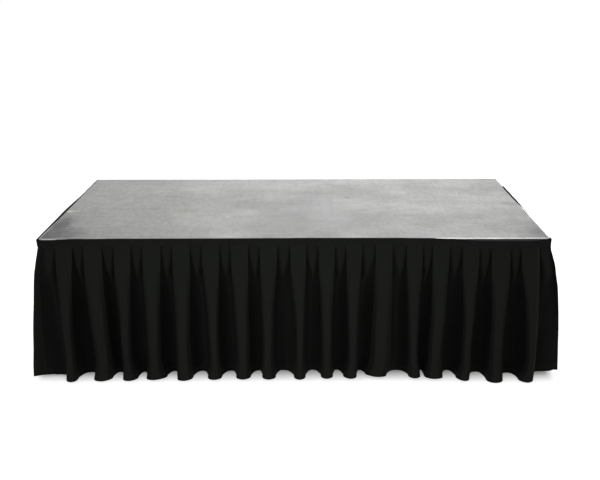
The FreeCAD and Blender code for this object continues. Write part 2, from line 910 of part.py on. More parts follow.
def pleat_line(side, z):
    """The folded cloth's middle line at a height, as (along, out) points."""
    hang = (header_bottom - z) / (header_bottom - hem_clearance)
    under = max(0.0, rail_bottom - skirt_rail_gap - z)
    under_share = under / (rail_bottom - skirt_rail_gap - hem_clearance)
    near = header_back + header_thickness + cloth / 2
    crest = blend(near, side.swing, hang**swing_curve)
    corner = blend(near, corner_swing, hang**swing_curve)
    valley = blend(valley_gap + cloth / 2, -inner_swing, under_share)
    corner_valley = blend(valley_gap + cloth / 2, -corner_valley_swing, under_share)
    panel_width = blend(pleat_panel_top, pleat_panel_hem, hang)
    valley_width = blend(pleat_valley_top, pleat_valley_hem, hang)
    count = round((side.length - 2 * corner_margin) / pleat_pitch)
    pitch = (side.length - 2 * corner_margin) / count
    flank = (pitch - panel_width - valley_width) / 2

    line = []
    if side.corner_left:
        line.append((-corner, corner))
        line.append((corner_margin - valley_width / 2 - flank, corner))
    else:
        line.append((0, (crest + valley) / 2))
    for i in range(count + 1):
        middle = corner_margin + pitch * i
        by_corner = (i == 0 and side.corner_left) or (i == count and side.corner_right)
        depth = corner_valley if by_corner else valley
        line.append((middle - valley_width / 2, depth))
        line.append((middle + valley_width / 2, depth))
        if i < count:
            line.append((middle + (pitch - panel_width) / 2, crest))
            line.append((middle + (pitch + panel_width) / 2, crest))
    if side.corner_right:
        line.append((side.length - corner_margin + valley_width / 2 + flank, corner))
        line.append((side.length + corner, corner))
    else:
        line.append((side.length, (crest + valley) / 2))
    return line


def offset_line(line, distance, corner_left, corner_right):
    """The line moved outwards by a distance, with its bends kept sharp."""
    normals = []
    for (a_along, a_out), (b_along, b_out) in zip(line, line[1:]):
        length = math.hypot(b_along - a_along, b_out - a_out)
        normals.append(((a_out - b_out) / length, (b_along - a_along) / length))
    moved = []
    for i, (along, out) in enumerate(line):
        if i == 0:
            shift = (-1.0, 1.0) if corner_left else (0.0, 1 / normals[0][1])
        elif i == len(line) - 1:
            shift = (1.0, 1.0) if corner_right else (0.0, 1 / normals[-1][1])
        else:
            before = normals[i - 1]
            after = normals[i]
            scale = 1 + before[0] * after[0] + before[1] * after[1]
            shift = ((before[0] + after[0]) / scale, (before[1] + after[1]) / scale)
        moved.append((along + shift[0] * distance, out + shift[1] * distance))
    return moved


def make_skirt(side):
    """A pleated panel that hangs from the header, lofted through four heights."""
    levels = [
        header_bottom,
        rail_bottom - skirt_rail_gap,
        deck_height - skirt_bulge_drop,
        hem_clearance,
    ]
    wires = []
    for z in levels:
        line = pleat_line(side, z)
        outer = offset_line(line, cloth / 2, side.corner_left, side.corner_right)
        inner = offset_line(line, -cloth / 2, side.corner_left, side.corner_right)
        points = [side.point(along, out, z) for along, out in outer + inner[::-1]]
        wires.append(Part.makePolygon([*points, points[0]]))
    return Part.makeLoft(wires, True, True)


def build_skirt():
    """Skirt panels, their headers, and the hook-and-loop tape that holds them."""
    loop_tapes = []
    hook_tapes = []
    tape_top = header_top - (header_height - tape_width) / 2
    tape_bottom = tape_top - tape_width
    for side in SKIRT_SIDES:
        save(f"skirt_{side.name}", make_skirt(side))
        header_face = header_back + header_thickness
        header = make_band(side, header_back, header_face, header_bottom, header_top)
        save(f"skirt_header_{side.name}", header)
        loop_tapes.append(make_band(side, 0, tape_thickness, tape_bottom, tape_top))
        hook_tapes.append(make_band(side, tape_thickness, header_back, tape_bottom, tape_top))
    save("loop_tapes", *loop_tapes)
    save("hook_tapes", *hook_tapes)


os.makedirs("parts", exist_ok=True)
build_frame()
build_legs()
build_skirt()
print(f"leg travel {leg_travel:.1f} mm, deck {deck_height:.0f} to {deck_height + leg_travel:.0f} mm high")
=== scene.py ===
# %% [markdown]
# # Dressing a stage riser platform
# The frame that is loaded here is the deck's metalwork at its true size: rails, bearers, corner
# sockets, telescopic legs and levelling feet. This lesson adds what an engineering model leaves
# plain: the pleated skirt, its stitched header, and a finish for every material. Everything is in
# metres, and the origin is on the floor under the middle of the part.

# %% Load the frame
import json
import math

import bpy
from mathutils import Matrix, Vector, noise


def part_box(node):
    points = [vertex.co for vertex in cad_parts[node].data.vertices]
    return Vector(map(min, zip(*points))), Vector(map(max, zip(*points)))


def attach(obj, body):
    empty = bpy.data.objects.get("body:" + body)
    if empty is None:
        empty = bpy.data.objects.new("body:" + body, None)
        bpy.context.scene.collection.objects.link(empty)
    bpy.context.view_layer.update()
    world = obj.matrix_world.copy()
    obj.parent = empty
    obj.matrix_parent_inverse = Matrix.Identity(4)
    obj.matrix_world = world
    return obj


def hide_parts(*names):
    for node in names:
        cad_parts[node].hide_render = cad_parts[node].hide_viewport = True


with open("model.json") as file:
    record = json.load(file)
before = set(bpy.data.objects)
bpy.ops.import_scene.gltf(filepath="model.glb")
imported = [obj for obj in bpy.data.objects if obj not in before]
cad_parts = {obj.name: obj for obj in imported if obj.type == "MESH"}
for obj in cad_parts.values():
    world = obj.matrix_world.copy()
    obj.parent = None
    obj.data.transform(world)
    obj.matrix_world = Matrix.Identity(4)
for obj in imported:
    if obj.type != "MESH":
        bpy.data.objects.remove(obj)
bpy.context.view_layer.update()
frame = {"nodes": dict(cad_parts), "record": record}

# %% [markdown]
# ## The camera
# A camera that matches a picture has a place, a direction and a lens. They could be found by eye,
# by moving the view until all the edges agree. The deck's four corners and the hem are enough to
# work them out, so they are written here as numbers: a tilt, a turn, a roll and a lens. The camera
# looks down a little, from well in front.

# %% Camera
CAMERA_PLACE = Vector((0.05034, -3.62868, 1.59392))
TILT_DOWN, TURN, ROLL = (math.radians(angle) for angle in (17.5567, -0.4700, -0.2698))
LENS_MM, SENSOR_MM = 50.931, 36

forward = math.cos(TILT_DOWN)
ahead = Vector((math.sin(TURN) * forward, math.cos(TURN) * forward, -math.sin(TILT_DOWN)))
level = Vector((math.cos(TURN), -math.sin(TURN), 0))
upright = level.cross(ahead)
right = level * math.cos(ROLL) + upright * math.sin(ROLL)
up = upright * math.cos(ROLL) - level * math.sin(ROLL)

camera_data = bpy.data.cameras.new("camera")
camera_data.sensor_width = SENSOR_MM
camera_data.lens = LENS_MM
camera = bpy.data.objects.new("camera", camera_data)
bpy.context.scene.collection.objects.link(camera)
facing = Matrix((right, up, -ahead)).transposed().to_4x4()
camera.matrix_world = Matrix.Translation(CAMERA_PLACE) @ facing
bpy.context.scene.camera = camera
print("camera lens", LENS_MM, "mm, height", CAMERA_PLACE.z, "m")

# %% [markdown]
# ## Small helpers for shader nodes
# Each finish is a small web of shader nodes. It could be drawn by hand in the node editor, but a
# web is easier to follow in code when each node takes one line. `put` adds a node, sets its
# options, and either links a socket or writes a value into it. The helpers after it name the steps
# that come back in every finish.

# %% Put a node into a tree
def fill(tree, node, sockets):
    """Sets a new node down in the next free place, and links or fills its sockets."""
    count = len(tree.nodes)
    node.location = (190 * (count % 9), -240 * (count // 9))
    for key, value in sockets.items():
        if isinstance(value, bpy.types.NodeSocket):
            tree.links.new(value, node.inputs[key])
        else:
            node.inputs[key].default_value = value
    return node


def put(tree, kind, sockets=None, **options):
    """Adds a shader node, sets its options, and links or fills its sockets."""
    node = tree.nodes.new("ShaderNode" + kind)
    for name, value in options.items():
        setattr(node, name, value)
    return fill(tree, node, sockets or {})


print("materials before the finishes", len(bpy.data.materials))


# %% Colours and sums
def mix_colours(tree, share, first, second):
    """The colour between two others: the first at share 0, and the second at share 1."""
    return put(tree, "Mix", {0: share, 6: first, 7: second}, data_type="RGBA").outputs[2]


def reckon(tree, operation, first, second):
    """One arithmetic step on two values."""
    return put(tree, "Math", {0: first, 1: second}, operation=operation).outputs[0]


def ramp(tree, value, start, end):
    """0 where the value is at start and 1 where it is at end, with a smooth change between."""
    sockets = {"Value": value, "From Min": start, "From Max": end}
    return put(tree, "MapRange", sockets, interpolation_type="SMOOTHSTEP").outputs[0]


def spread(tree, value, low, high):
    """Stretches a value that lies between 0 and 1 to lie between low and high."""
    return put(tree, "MapRange", {"Value": value, "To Min": low, "To Max": high}).outputs[0]


def grey(tone, tint=(1, 1, 1)):
    """A colour as a socket takes it, from a linear tone and a slight tint."""
    return (tone * tint[0], tone * tint[1], tone * tint[2], 1)


def lighter(colour, times):
    """The same colour, several times as light."""
    return tuple(times * part for part in colour[:3]) + (1,)


print("twice a grey of 0.18 is", lighter(grey(0.18), 2)[:3])

# %% [markdown]
# ## Effects that several finishes share
# Wear, grain and weave turn up in more than one material. They could be built anew in each, or
# painted as pictures. A node group with named sockets is made once, holds at any distance, and
# lets every material give it its own sizes. A group here only puts out a mask or a height; the
# shader itself stays in the material.

# %% An empty group
def new_group(name, inputs, output):
    """An empty node group with named inputs and one output, and the sockets of its two ends."""
    group = bpy.data.node_groups.new(name, "ShaderNodeTree")
    for socket, kind, value in inputs:
        made = group.interface.new_socket(socket, in_out="INPUT", socket_type="NodeSocket" + kind)
        if value is not None:
            made.default_value = value
    group.interface.new_socket(output, in_out="OUTPUT", socket_type="NodeSocketFloat")
    given, result = (group.nodes.new("NodeGroup" + end) for end in ("Input", "Output"))
    return group, given.outputs, result.inputs


effects = {}
print("node groups so far", len(bpy.data.node_groups))

# %% [markdown]
# ### Patches and scratches
# Stains, dust and dulled spots have soft, cloudy rims. A cloud of noise that is cut between two
# levels gives them, and the two levels say how much of the surface they cover. Scratches and the
# fine lines of an extrusion are the same cloud, pulled long along one axis before it is cut.

# %% Patches
def make_patches():
    """Soft spots: noise cut between two levels, for stains, wear and dust."""
    group, given, result = new_group(
        "patches",
        [("Vector", "Vector", None), ("Scale", "Float", 5.0), ("Detail", "Float", 4.0),
         ("From", "Float", 0.4), ("To", "Float", 0.6)],
        "Mask")
    cloud = put(group, "TexNoise", {"Vector": given["Vector"], "Scale": given["Scale"],
                                    "Detail": given["Detail"], "Roughness": 0.6})
    cut = ramp(group, cloud.outputs[0], given["From"], given["To"])
    group.links.new(cut, result["Mask"])
    return group


effects["patches"] = make_patches()
print("patches has", len(effects["patches"].nodes), "nodes")


# %% Scratches
def make_scratches():
    """Long marks: noise that is pulled along one axis and then cut."""
    group, given, result = new_group(
        "scratches",
        [("Vector", "Vector", None), ("Stretch", "Vector", (2.0, 60.0, 60.0)),
         ("Scale", "Float", 1.0), ("From", "Float", 0.55), ("To", "Float", 0.7)],
        "Mask")
    pulled = put(group, "VectorMath", {0: given["Vector"], 1: given["Stretch"]},
                 operation="MULTIPLY")
    lines = put(group, "TexNoise",
                {"Vector": pulled.outputs[0], "Scale": given["Scale"], "Detail": 3.0})
    cut = ramp(group, lines.outputs[0], given["From"], given["To"])
    group.links.new(cut, result["Mask"])
    return group


effects["scratches"] = make_scratches()
print("scratches has", len(effects["scratches"].nodes), "nodes")

# %% [markdown]
# ### The weave
# Plain cloth is threads that pass over and under each other in turn. Two sine waves, one along the
# cloth and one down it, are multiplied: where both are high or both are low a thread is on top.

# %% Weave
THREADS_PER_METRE = 1400.0


def make_weave():
    """A plain weave: warp and weft pass over each other every thread."""
    group, given, result = new_group(
        "weave", [("Vector", "Vector", None), ("Threads", "Float", THREADS_PER_METRE)], "Height")
    parts = put(group, "SeparateXYZ", {0: given["Vector"]})
    waves = []
    for axis in (0, 1):
        turned = reckon(group, "MULTIPLY", parts.outputs[axis], given["Threads"])
        turned = reckon(group, "MULTIPLY", turned, math.pi)
        waves.append(reckon(group, "SINE", turned, 0.0))
    crossing = reckon(group, "MULTIPLY", waves[0], waves[1])
    height = put(group, "MapRange", {"Value": crossing, "From Min": -1.0, "From Max": 1.0})
    group.links.new(height.outputs[0], result["Height"])
    return group


effects["weave"] = make_weave()
print("effects", sorted(effects))

# %% [markdown]
# ## From an effect to a material
# Every finish is made in the same three moves: start a material, place effects in it, and feed the
# colour, the roughness and a height into its shader. The moves are written once here, so that each
# finish below only says what is its own.

# %% Start, place and feed
def effect(tree, name, sockets):
    """Places a shared effect in a material and returns what it puts out."""
    node = tree.nodes.new("ShaderNodeGroup")
    node.node_tree = effects[name]
    return fill(tree, node, sockets).outputs[0]


def new_material(name, **constants):
    """A material, its tree, its shader, and the places that a texture can be laid by."""
    material = bpy.data.materials.new(name)
    material.use_nodes = True
    tree = material.node_tree
    shader = tree.nodes["Principled BSDF"]
    for key, value in constants.items():
        shader.inputs[key.replace("_", " ")].default_value = value
    return material, tree, shader, put(tree, "TexCoord").outputs


def feed(tree, shader, colour, roughness, height, depth):
    """Feeds the shader its colour, its roughness, and a height that is depth metres at most."""
    tree.links.new(colour, shader.inputs["Base Color"])
    tree.links.new(roughness, shader.inputs["Roughness"])
    bump = put(tree, "Bump", {"Height": height, "Distance": depth, "Strength": 1.0})
    tree.links.new(bump.outputs[0], shader.inputs["Normal"])


finishes = {}
print("finishes so far", len(finishes))

# %% [markdown]
# ## The worn board
# The deck is plywood with a grey phenolic film, and years of feet, cases and castors show on it:
# cloudy wear, scuffs that mostly run along the deck, dark patches at the front corners, and a few
# chips that show the wood. Along the right end there are also patches of painted shade. A picture
# could be laid over it, but it would bring its own light and be sharp at one distance only. Here
# each kind of wear is a mask, and the masks are laid over the film's grey in the order in which
# they happened.
#
# First come the marks that have a place of their own: each is an ellipse with a ragged rim.

# %% Marks with a place
BOARD_MARKS_AND_SHADE = [
    # middle, half size, colour, strength, softness
    # chips at the two ends and left of the middle, that show the wood
    ((-0.981, -0.067), (0.016, 0.018), (0.72, 0.66, 0.50, 1), 1.0, 0.4),
    ((-0.958, -0.067), (0.028, 0.010), (0.60, 0.56, 0.46, 1), 0.7, 0.7),
    ((0.992, -0.168), (0.014, 0.022), (0.66, 0.62, 0.48, 1), 0.7, 0.7),
    ((-0.286, -0.152), (0.008, 0.012), (0.74, 0.70, 0.58, 1), 0.9, 0.5),
    # the smears that trail from the last chip, and a pale rub in front of it
    ((-0.215, -0.160), (0.100, 0.024), (0.18, 0.18, 0.17, 1), 0.45, 0.95),
    ((-0.080, -0.150), (0.110, 0.020), (0.20, 0.20, 0.19, 1), 0.40, 0.95),
    ((-0.255, -0.440), (0.060, 0.022), (0.60, 0.62, 0.58, 1), 0.40, 0.9),
    # two tracks across the deck
    ((0.160, 0.020), (0.013, 0.420), (0.24, 0.23, 0.25, 1), 0.34, 0.95),
    ((-0.255, 0.080), (0.012, 0.220), (0.25, 0.25, 0.24, 1), 0.30, 0.95),
    # yellow and brown stains
    ((-0.470, -0.055), (0.075, 0.050), (0.24, 0.24, 0.13, 1), 0.45, 0.95),
    ((-0.620, -0.030), (0.040, 0.040), (0.24, 0.24, 0.14, 1), 0.40, 0.95),
    ((0.236, 0.160), (0.022, 0.018), (0.17, 0.12, 0.06, 1), 0.60, 0.8),
    ((0.280, 0.176), (0.032, 0.014), (0.36, 0.33, 0.20, 1), 0.45, 0.9),
    # grey scuffs right of the middle, and two darker spots in the middle
    ((0.285, -0.060), (0.070, 0.024), (0.16, 0.16, 0.15, 1), 0.50, 0.95),
    ((0.375, -0.098), (0.065, 0.030), (0.16, 0.16, 0.15, 1), 0.55, 0.95),
    ((0.520, -0.050), (0.050, 0.040), (0.19, 0.19, 0.18, 1), 0.45, 0.95),
    ((-0.020, 0.055), (0.034, 0.055), (0.21, 0.21, 0.14, 1), 0.45, 0.95),
    ((0.050, 0.075), (0.050, 0.060), (0.22, 0.23, 0.22, 1), 0.35, 0.95),
    # dark patches at the front corners, and painted shade along the right end
    ((-0.990, -0.430), (0.130, 0.175), (0.022, 0.020, 0.028, 1), 0.95, 0.95),
    ((-0.970, -0.270), (0.090, 0.210), (0.042, 0.040, 0.050, 1), 0.90, 0.95),
    ((-0.905, -0.410), (0.125, 0.140), (0.080, 0.078, 0.086, 1), 0.70, 0.98),
    ((0.995, -0.400), (0.100, 0.170), (0.090, 0.092, 0.097, 1), 0.65, 0.95),
    ((0.960, 0.045), (0.055, 0.050), (0.12, 0.12, 0.12, 1), 0.60, 0.95),
    ((0.940, 0.520), (0.060, 0.030), (0.20, 0.20, 0.19, 1), 0.60, 0.95),
    # the middle of the deck, which has been trodden darker
    ((0.020, -0.080), (0.600, 0.950), (0.26, 0.26, 0.26, 1), 0.50, 1.00),
]


def blot(tree, place, middle, size, ragged, softness):
    """A mask for one mark on the deck: 1 inside an ellipse, with a ragged rim."""
    shifted = put(tree, "VectorMath", {0: place, 1: (-middle[0], -middle[1], 0)}, operation="ADD")
    shrunk = put(tree, "VectorMath", {0: shifted.outputs[0], 1: (1 / size[0], 1 / size[1], 0)},
                 operation="MULTIPLY")
    reach = put(tree, "VectorMath", {0: shrunk.outputs[0]}, operation="LENGTH").outputs["Value"]
    return ramp(tree, reckon(tree, "ADD", reach, ragged), 1.0, 1.0 - softness)


print("marks on the board", len(BOARD_MARKS_AND_SHADE))

# %% [markdown]
# ### Wear all over the board
# The rest of the wear has no place of its own. Six layers of pulled noise stand for it, from broad
# mottling to lines a few millimetres wide. Rubbed lines are lighter, since the film's gloss is gone
# there, and they are also pressed in a little.

# %% Board finish
FILM_DARK, FILM_LIGHT = grey(0.378, (0.985, 1.0, 0.965)), grey(0.402, (1.0, 1.0, 0.985))
RAGGED = 0.45
BOARD_WEAR = [
    # name, stretch, cut from and to, share, tone; a larger stretch is a narrower mark on that axis
    ("mottle", (15.0, 12.0, 1.0), 0.40, 0.66, 0.20, 0.245),
    ("smears", (7.0, 46.0, 1.0), 0.45, 0.70, 0.26, 0.240),
    ("specks", (56.0, 28.0, 1.0), 0.44, 0.66, 0.31, 0.225),
    ("rubbed lines", (9.0, 130.0, 1.0), 0.50, 0.72, 0.31, 0.540),
    ("light specks", (76.0, 36.0, 1.0), 0.54, 0.72, 0.25, 0.600),
    ("cross lines", (120.0, 3.0, 1.0), 0.54, 0.74, 0.29, 0.240),
]


def make_board_finish():
    """The grey film with its wear, from the broadest to the marks that have a place, and painted
    shade.
    """
    material, tree, shader, place = new_material("phenolic_board", Specular_IOR_Level=0.38)
    here = place["Object"]
    clouds = effect(tree, "patches",
                    {"Vector": here, "Scale": 4.5, "Detail": 9.0, "From": 0.32, "To": 0.68})
    film = mix_colours(tree, clouds, FILM_DARK, FILM_LIGHT)
    worn = {}
    for name, stretch, cut_from, cut_to, share, tone in BOARD_WEAR:
        worn[name] = effect(tree, "scratches", {"Vector": here, "Stretch": stretch, "Scale": 1.0,
                                                "From": cut_from, "To": cut_to})
        cover = reckon(tree, "MULTIPLY", worn[name], share)
        film = mix_colours(tree, cover, film, grey(tone, (0.99, 1.0, 0.97)))
    rough = put(tree, "TexNoise", {"Vector": here, "Scale": 38.0, "Detail": 6.0, "Roughness": 0.7})
    ragged = spread(tree, rough.outputs[0], -RAGGED, RAGGED)
    # Marks that have a place: stains, chips and dark patches, and painted shade along the right
    # end.
    for middle, size, colour, strength, softness in BOARD_MARKS_AND_SHADE:
        mark = blot(tree, here, middle, size, ragged, softness)
        film = mix_colours(tree, reckon(tree, "MULTIPLY", mark, strength), film, colour)
    grain = put(tree, "TexNoise", {"Vector": here, "Scale": 260.0, "Detail": 4.0})
    pressed = reckon(tree, "MULTIPLY", worn["rubbed lines"], -0.7)
    height = reckon(tree, "ADD", grain.outputs[0], pressed)
    feed(tree, shader, film, spread(tree, clouds, 0.62, 0.50), height, 0.0002)
    return material


finishes["phenolic_board"] = make_board_finish()
print("board finish has", len(finishes["phenolic_board"].node_tree.nodes), "nodes")

# %% [markdown]
# ## Metals
# The rails and tubes are bright aluminium, but an extrusion shows fine lines along its length and
# handling dulls it in spots. A casting is rougher and pitted. Zinc-plated steel is a little blue,
# with a cloudy sheen. Each could have its own web of nodes, but they differ only in numbers, so one
# function makes them all. Lines are pulled along the axis with the small stretch: along x for the
# rails, and up for the tubes.

# %% Metal finishes
METALS = {
    # bright colour, dull colour; roughness low and high, line stretch, pit scale, pit depth
    "rail_aluminium": ((0.50, 0.50, 0.495, 1), (0.35, 0.35, 0.345, 1),
                       0.34, 0.56, (3.0, 90.0, 260.0), 900.0, 0.00012),
    "tube_aluminium": ((0.56, 0.56, 0.56, 1), (0.38, 0.38, 0.38, 1),
                       0.30, 0.50, (90.0, 90.0, 3.0), 900.0, 0.00012),
    "cast_aluminium": ((0.52, 0.52, 0.51, 1), (0.36, 0.36, 0.35, 1),
                       0.48, 0.70, (40.0, 40.0, 40.0), 420.0, 0.0005),
    "zinc_steel": ((0.60, 0.61, 0.62, 1), (0.42, 0.42, 0.40, 1),
                   0.26, 0.42, (70.0, 70.0, 70.0), 1300.0, 0.00012),
}


def make_metal(name):
    """A metal with lines along its make, dulled spots and fine pits."""
    bright, dull, smooth, rough, stretch, pit_scale, depth = METALS[name]
    material, tree, shader, place = new_material(name, Metallic=1.0)
    here = place["Object"]
    spots = effect(tree, "patches",
                   {"Vector": here, "Scale": 14.0, "Detail": 6.0, "From": 0.38, "To": 0.70})
    lines = effect(tree, "scratches",
                   {"Vector": here, "Stretch": stretch, "Scale": 4.0, "From": 0.35, "To": 0.75})
    dulled = reckon(tree, "MULTIPLY", reckon(tree, "ADD", spots, lines), 0.5)
    pits = put(tree, "TexNoise", {"Vector": here, "Scale": pit_scale, "Detail": 3.0})
    height = reckon(tree, "ADD", reckon(tree, "MULTIPLY", lines, 0.6), pits.outputs[0])
    colour = mix_colours(tree, dulled, bright, dull)
    feed(tree, shader, colour, spread(tree, dulled, smooth, rough), height, depth)
    return material


for name in METALS:
    finishes[name] = make_metal(name)
print("metals", sorted(METALS))

# %% [markdown]
# ## Plastics, rubbers and tape
# The knobs and bushes are moulded, the soles and the strips on the bearers are rubber, and the tape
# is a stiff black pile. All are near black, with a fine grain, and a grey bloom of dust where they
# are handled or trodden on. The tape's pile could be real loops, but it is hidden behind the
# header, so a deep grain stands for it.

# %% Moulded finishes
MOULDED = {
    # clean colour, worn colour; roughness low and high, grain scale, grain depth
    "knob_plastic": ((0.012, 0.012, 0.013, 1), (0.045, 0.045, 0.045, 1),
                     0.35, 0.55, 1500.0, 0.00010),
    "black_nylon": ((0.016, 0.016, 0.016, 1), (0.050, 0.050, 0.048, 1),
                    0.42, 0.60, 1100.0, 0.00010),
    "sole_rubber": ((0.014, 0.014, 0.014, 1), (0.075, 0.072, 0.066, 1),
                    0.70, 0.92, 700.0, 0.00030),
    "damping_rubber": ((0.020, 0.020, 0.020, 1), (0.060, 0.058, 0.055, 1),
                       0.72, 0.90, 800.0, 0.00025),
    "fastener_tape": ((0.010, 0.010, 0.010, 1), (0.030, 0.030, 0.030, 1),
                      0.85, 0.97, 2600.0, 0.00060),
}


def make_moulded(name):
    """A plastic, rubber or pile with a fine grain and some dust and rubbing."""
    clean, worn, smooth, rough, grain_scale, depth = MOULDED[name]
    material, tree, shader, place = new_material(name)
    here = place["Object"]
    dust = effect(tree, "patches",
                  {"Vector": here, "Scale": 30.0, "Detail": 7.0, "From": 0.45, "To": 0.75})
    grain = put(tree, "TexNoise", {"Vector": here, "Scale": grain_scale, "Detail": 2.0})
    colour = mix_colours(tree, dust, clean, worn)
    feed(tree, shader, colour, spread(tree, dust, smooth, rough), grain.outputs[0], depth)
    return material


for name in MOULDED:
    finishes[name] = make_moulded(name)
print("moulded", sorted(MOULDED))

# %% [markdown]
# ## Skirt cloth
# The skirt is a black woven polyester. Its pattern has to follow the cloth round every fold, so it
# reads the sheet's own UV map, which is in metres of cloth: 1,400 threads a metre is a thread every
# 0.7 mm. Panels that face the room fade and take dust. Shade is painted on as well: the cloth
# inside the folds is painted blacker, and flanks turned to the light are painted lighter. That
# could be left to the light alone, but black cloth is too dark for it to show, so fading and
# painted shade are one attribute that is painted when the sheet is made. Above 1 it is a painted
# highlight on a pressed edge.
#
# The seams are rows of stitches at given distances down the cloth. Real thread could be modelled,
# but at this size a row is a groove in the finish, with a thread that shows every 4 mm.

# %% Rows of stitches
STITCHES_PER_METRE, THREAD_FROM, HALF_ROW = 250.0, 0.25, 0.0011


def stitched(tree, flat, rows):
    """Two masks for rows of stitches down the cloth: the rows, and the thread in them."""
    along, down = put(tree, "SeparateXYZ", {0: flat}).outputs[:2]
    seams = 0.0
    for row in rows:
        near = put(tree, "Math", {0: down, 1: row, 2: HALF_ROW}, operation="COMPARE").outputs[0]
        seams = reckon(tree, "MAXIMUM", near, seams)
    beat = reckon(tree, "FRACT", reckon(tree, "MULTIPLY", along, STITCHES_PER_METRE), 0.0)
    dash = reckon(tree, "GREATER_THAN", beat, THREAD_FROM)
    return seams, reckon(tree, "MULTIPLY", seams, dash)


print("one stitch is", round(1000 / STITCHES_PER_METRE, 1), "mm long")

# %% Cloth finishes
HEM_STITCHES = [0.553]
HEADER_STITCHES = [0.0275, 0.0155]
PRESSED_GLINT, THREAD_GLINT = 2.2, 1.6


def make_cloth(name, light, dark, stitch_rows):
    """Woven black cloth with painted fading, shade and highlights, and rows of stitches."""
    material, tree, shader, place = new_material(name, Specular_IOR_Level=0.06)
    flat = place["UV"]
    weave = effect(tree, "weave", {"Vector": flat, "Threads": THREADS_PER_METRE})
    fade_and_shade = put(tree, "Attribute", attribute_name="fade_and_shade").outputs["Fac"]
    clouds = effect(tree, "patches", {"Vector": place["Object"], "Scale": 9.0, "Detail": 5.0,
                                      "From": 0.3, "To": 0.75})
    clouded = reckon(tree, "ADD", 0.8, reckon(tree, "MULTIPLY", clouds, 0.2))
    # The painted attribute sets how light the cloth is: fading, and painted shade in the folds.
    cloth = mix_colours(tree, reckon(tree, "MULTIPLY", fade_and_shade, clouded), dark, light)
    # Above 1 the painted attribute is a painted highlight on a pressed edge.
    pressed = put(tree, "MapRange", {"Value": fade_and_shade, "From Min": 1.0, "From Max": 2.0}).outputs[0]
    cloth = mix_colours(tree, pressed, cloth, lighter(light, PRESSED_GLINT))
    seams, thread = stitched(tree, flat, stitch_rows)
    cloth = mix_colours(tree, thread, cloth, lighter(light, THREAD_GLINT))
    sunk = reckon(tree, "ADD", weave, reckon(tree, "MULTIPLY", seams, -1.5))
    height = reckon(tree, "ADD", sunk, reckon(tree, "MULTIPLY", thread, 1.2))
    feed(tree, shader, cloth, spread(tree, clouds, 0.80, 0.92), height, 0.0003)
    return material


CLOTHS = {
    # light colour, dark colour, rows of stitches
    "skirt_cloth": (grey(0.0112, (0.95, 1.06, 0.90)), grey(0.0018, (0.85, 1.10, 0.85)),
                    HEM_STITCHES),
    "header_band": (grey(0.0096, (0.95, 1.05, 0.93)), grey(0.0045, (0.95, 1.05, 0.95)),
                    HEADER_STITCHES),
}
for name in CLOTHS:
    finishes[name] = make_cloth(name, *CLOTHS[name])
print("finishes", sorted(finishes))

# %% [markdown]
# ## Finishes on the metalwork
# The frame's nodes already have the right shape and the right place, so each only needs its finish.
# They could be picked one by one, but the frame's record says which finish a node has, and a loop
# can't forget one.

# %% Give each node its finish
for part in frame["record"]["subparts"]:
    node = frame["nodes"][part["node"]]
    node.data.materials.clear()
    node.data.materials.append(finishes[part["material_slot"]])
print("dressed nodes", len(frame["nodes"]))

# %% [markdown]
# ## How a box pleat hangs
# At its top a box pleat is pressed flat: a panel, then cloth folded back behind the panel's edge,
# then the cloth that shows in the gap. Further down the folds open. The panels swing out and narrow
# to rounded noses, and the gaps fall back into deep valleys. A cloth simulation could find this,
# but it wouldn't give these pleats their own widths and leans, so the sheet is drawn row by row
# from a few corner points per pleat, and each corner is rounded more the lower it hangs.
#
# What changes on the way down is kept as short tables of keys. Two helpers read them: one draws a
# smooth line through a table's keys without overshooting them, and the other is a single step.

# %% Smooth lines through a few keys
def read(keys, place):
    """The value at a place on a smooth line through (place, value) keys, lowest first."""
    if place <= keys[0][0]:
        return keys[0][1]
    if place >= keys[-1][0]:
        return keys[-1][1]
    slopes = [(b[1] - a[1]) / (b[0] - a[0]) for a, b in zip(keys, keys[1:])]
    bends = [slopes[0]]
    for before, after in zip(slopes, slopes[1:]):
        bends.append(0.0 if before * after <= 0 else 2 * before * after / (before + after))
    bends.append(slopes[-1])
    i = max(k for k in range(len(keys) - 1) if keys[k][0] <= place)
    span = keys[i + 1][0] - keys[i][0]
    t = (place - keys[i][0]) / span
    return (
        keys[i][1] * (1 + 2 * t) * (1 - t) ** 2
        + keys[i + 1][1] * t * t * (3 - 2 * t)
        + span * (bends[i] * t * (1 - t) ** 2 - bends[i + 1] * t * t * (1 - t))
    )


def slope(value, start, end):
    """0 before start and 1 after end, with a smooth change between."""
    t = min(1.0, max(0.0, (value - start) / (end - start)))
    return t * t * (3 - 2 * t)


print("a third of the way up a step:", round(slope(1 / 3, 0.0, 1.0), 3))

# %% [markdown]
# ### The fold's tables
# Each key is a height above the floor and a value, from the hem up to the header. Between a panel's
# edge and the valley in the gap a fold has three more corners: under, where the cloth turns back
# behind the panel, recess, where it is furthest back, and shoulder, where it comes out again
# towards the valley. Where it is still pressed flat, near the top, the cloth in the gap is a light
# tongue that ends in a V.

# %% Fold tables
HEM, HEADER_BOTTOM = 0.018, 0.569
PRESSED_OUT, PRESSED_BACK, CLEAR_OF_RAIL = 0.0044, 0.0026, 0.0016
FULL_ROUND = 0.46
# how far a panel has swung out, and how far a gap has fallen back, as shares of the whole way
SWING = [(HEM, 1.0), (0.10, 0.96), (0.20, 0.87), (0.30, 0.76), (0.40, 0.61), (0.472, 0.45),
         (0.505, 0.32), (0.54, 0.16), (HEADER_BOTTOM, 0.0)]
SINK = [(HEM, 1.0), (0.15, 0.95), (0.30, 0.83), (0.39, 0.62), (0.426, 0.42), (0.447, 0.20),
        (0.469, 0.0)]
# how far out the tongue stands
TONGUE = [(0.469, 0.0120), (0.490, 0.0120), (0.532, 0.0070), (HEADER_BOTTOM, PRESSED_BACK)]
# how far the cloth turns back behind a panel: a minus is behind it
UNDER_ALONG = [(HEM, -0.001), (0.25, -0.004), (0.39, -0.009), (0.457, -0.018), (0.490, -0.027),
               (0.532, -0.030), (HEADER_BOTTOM, -0.0315)]
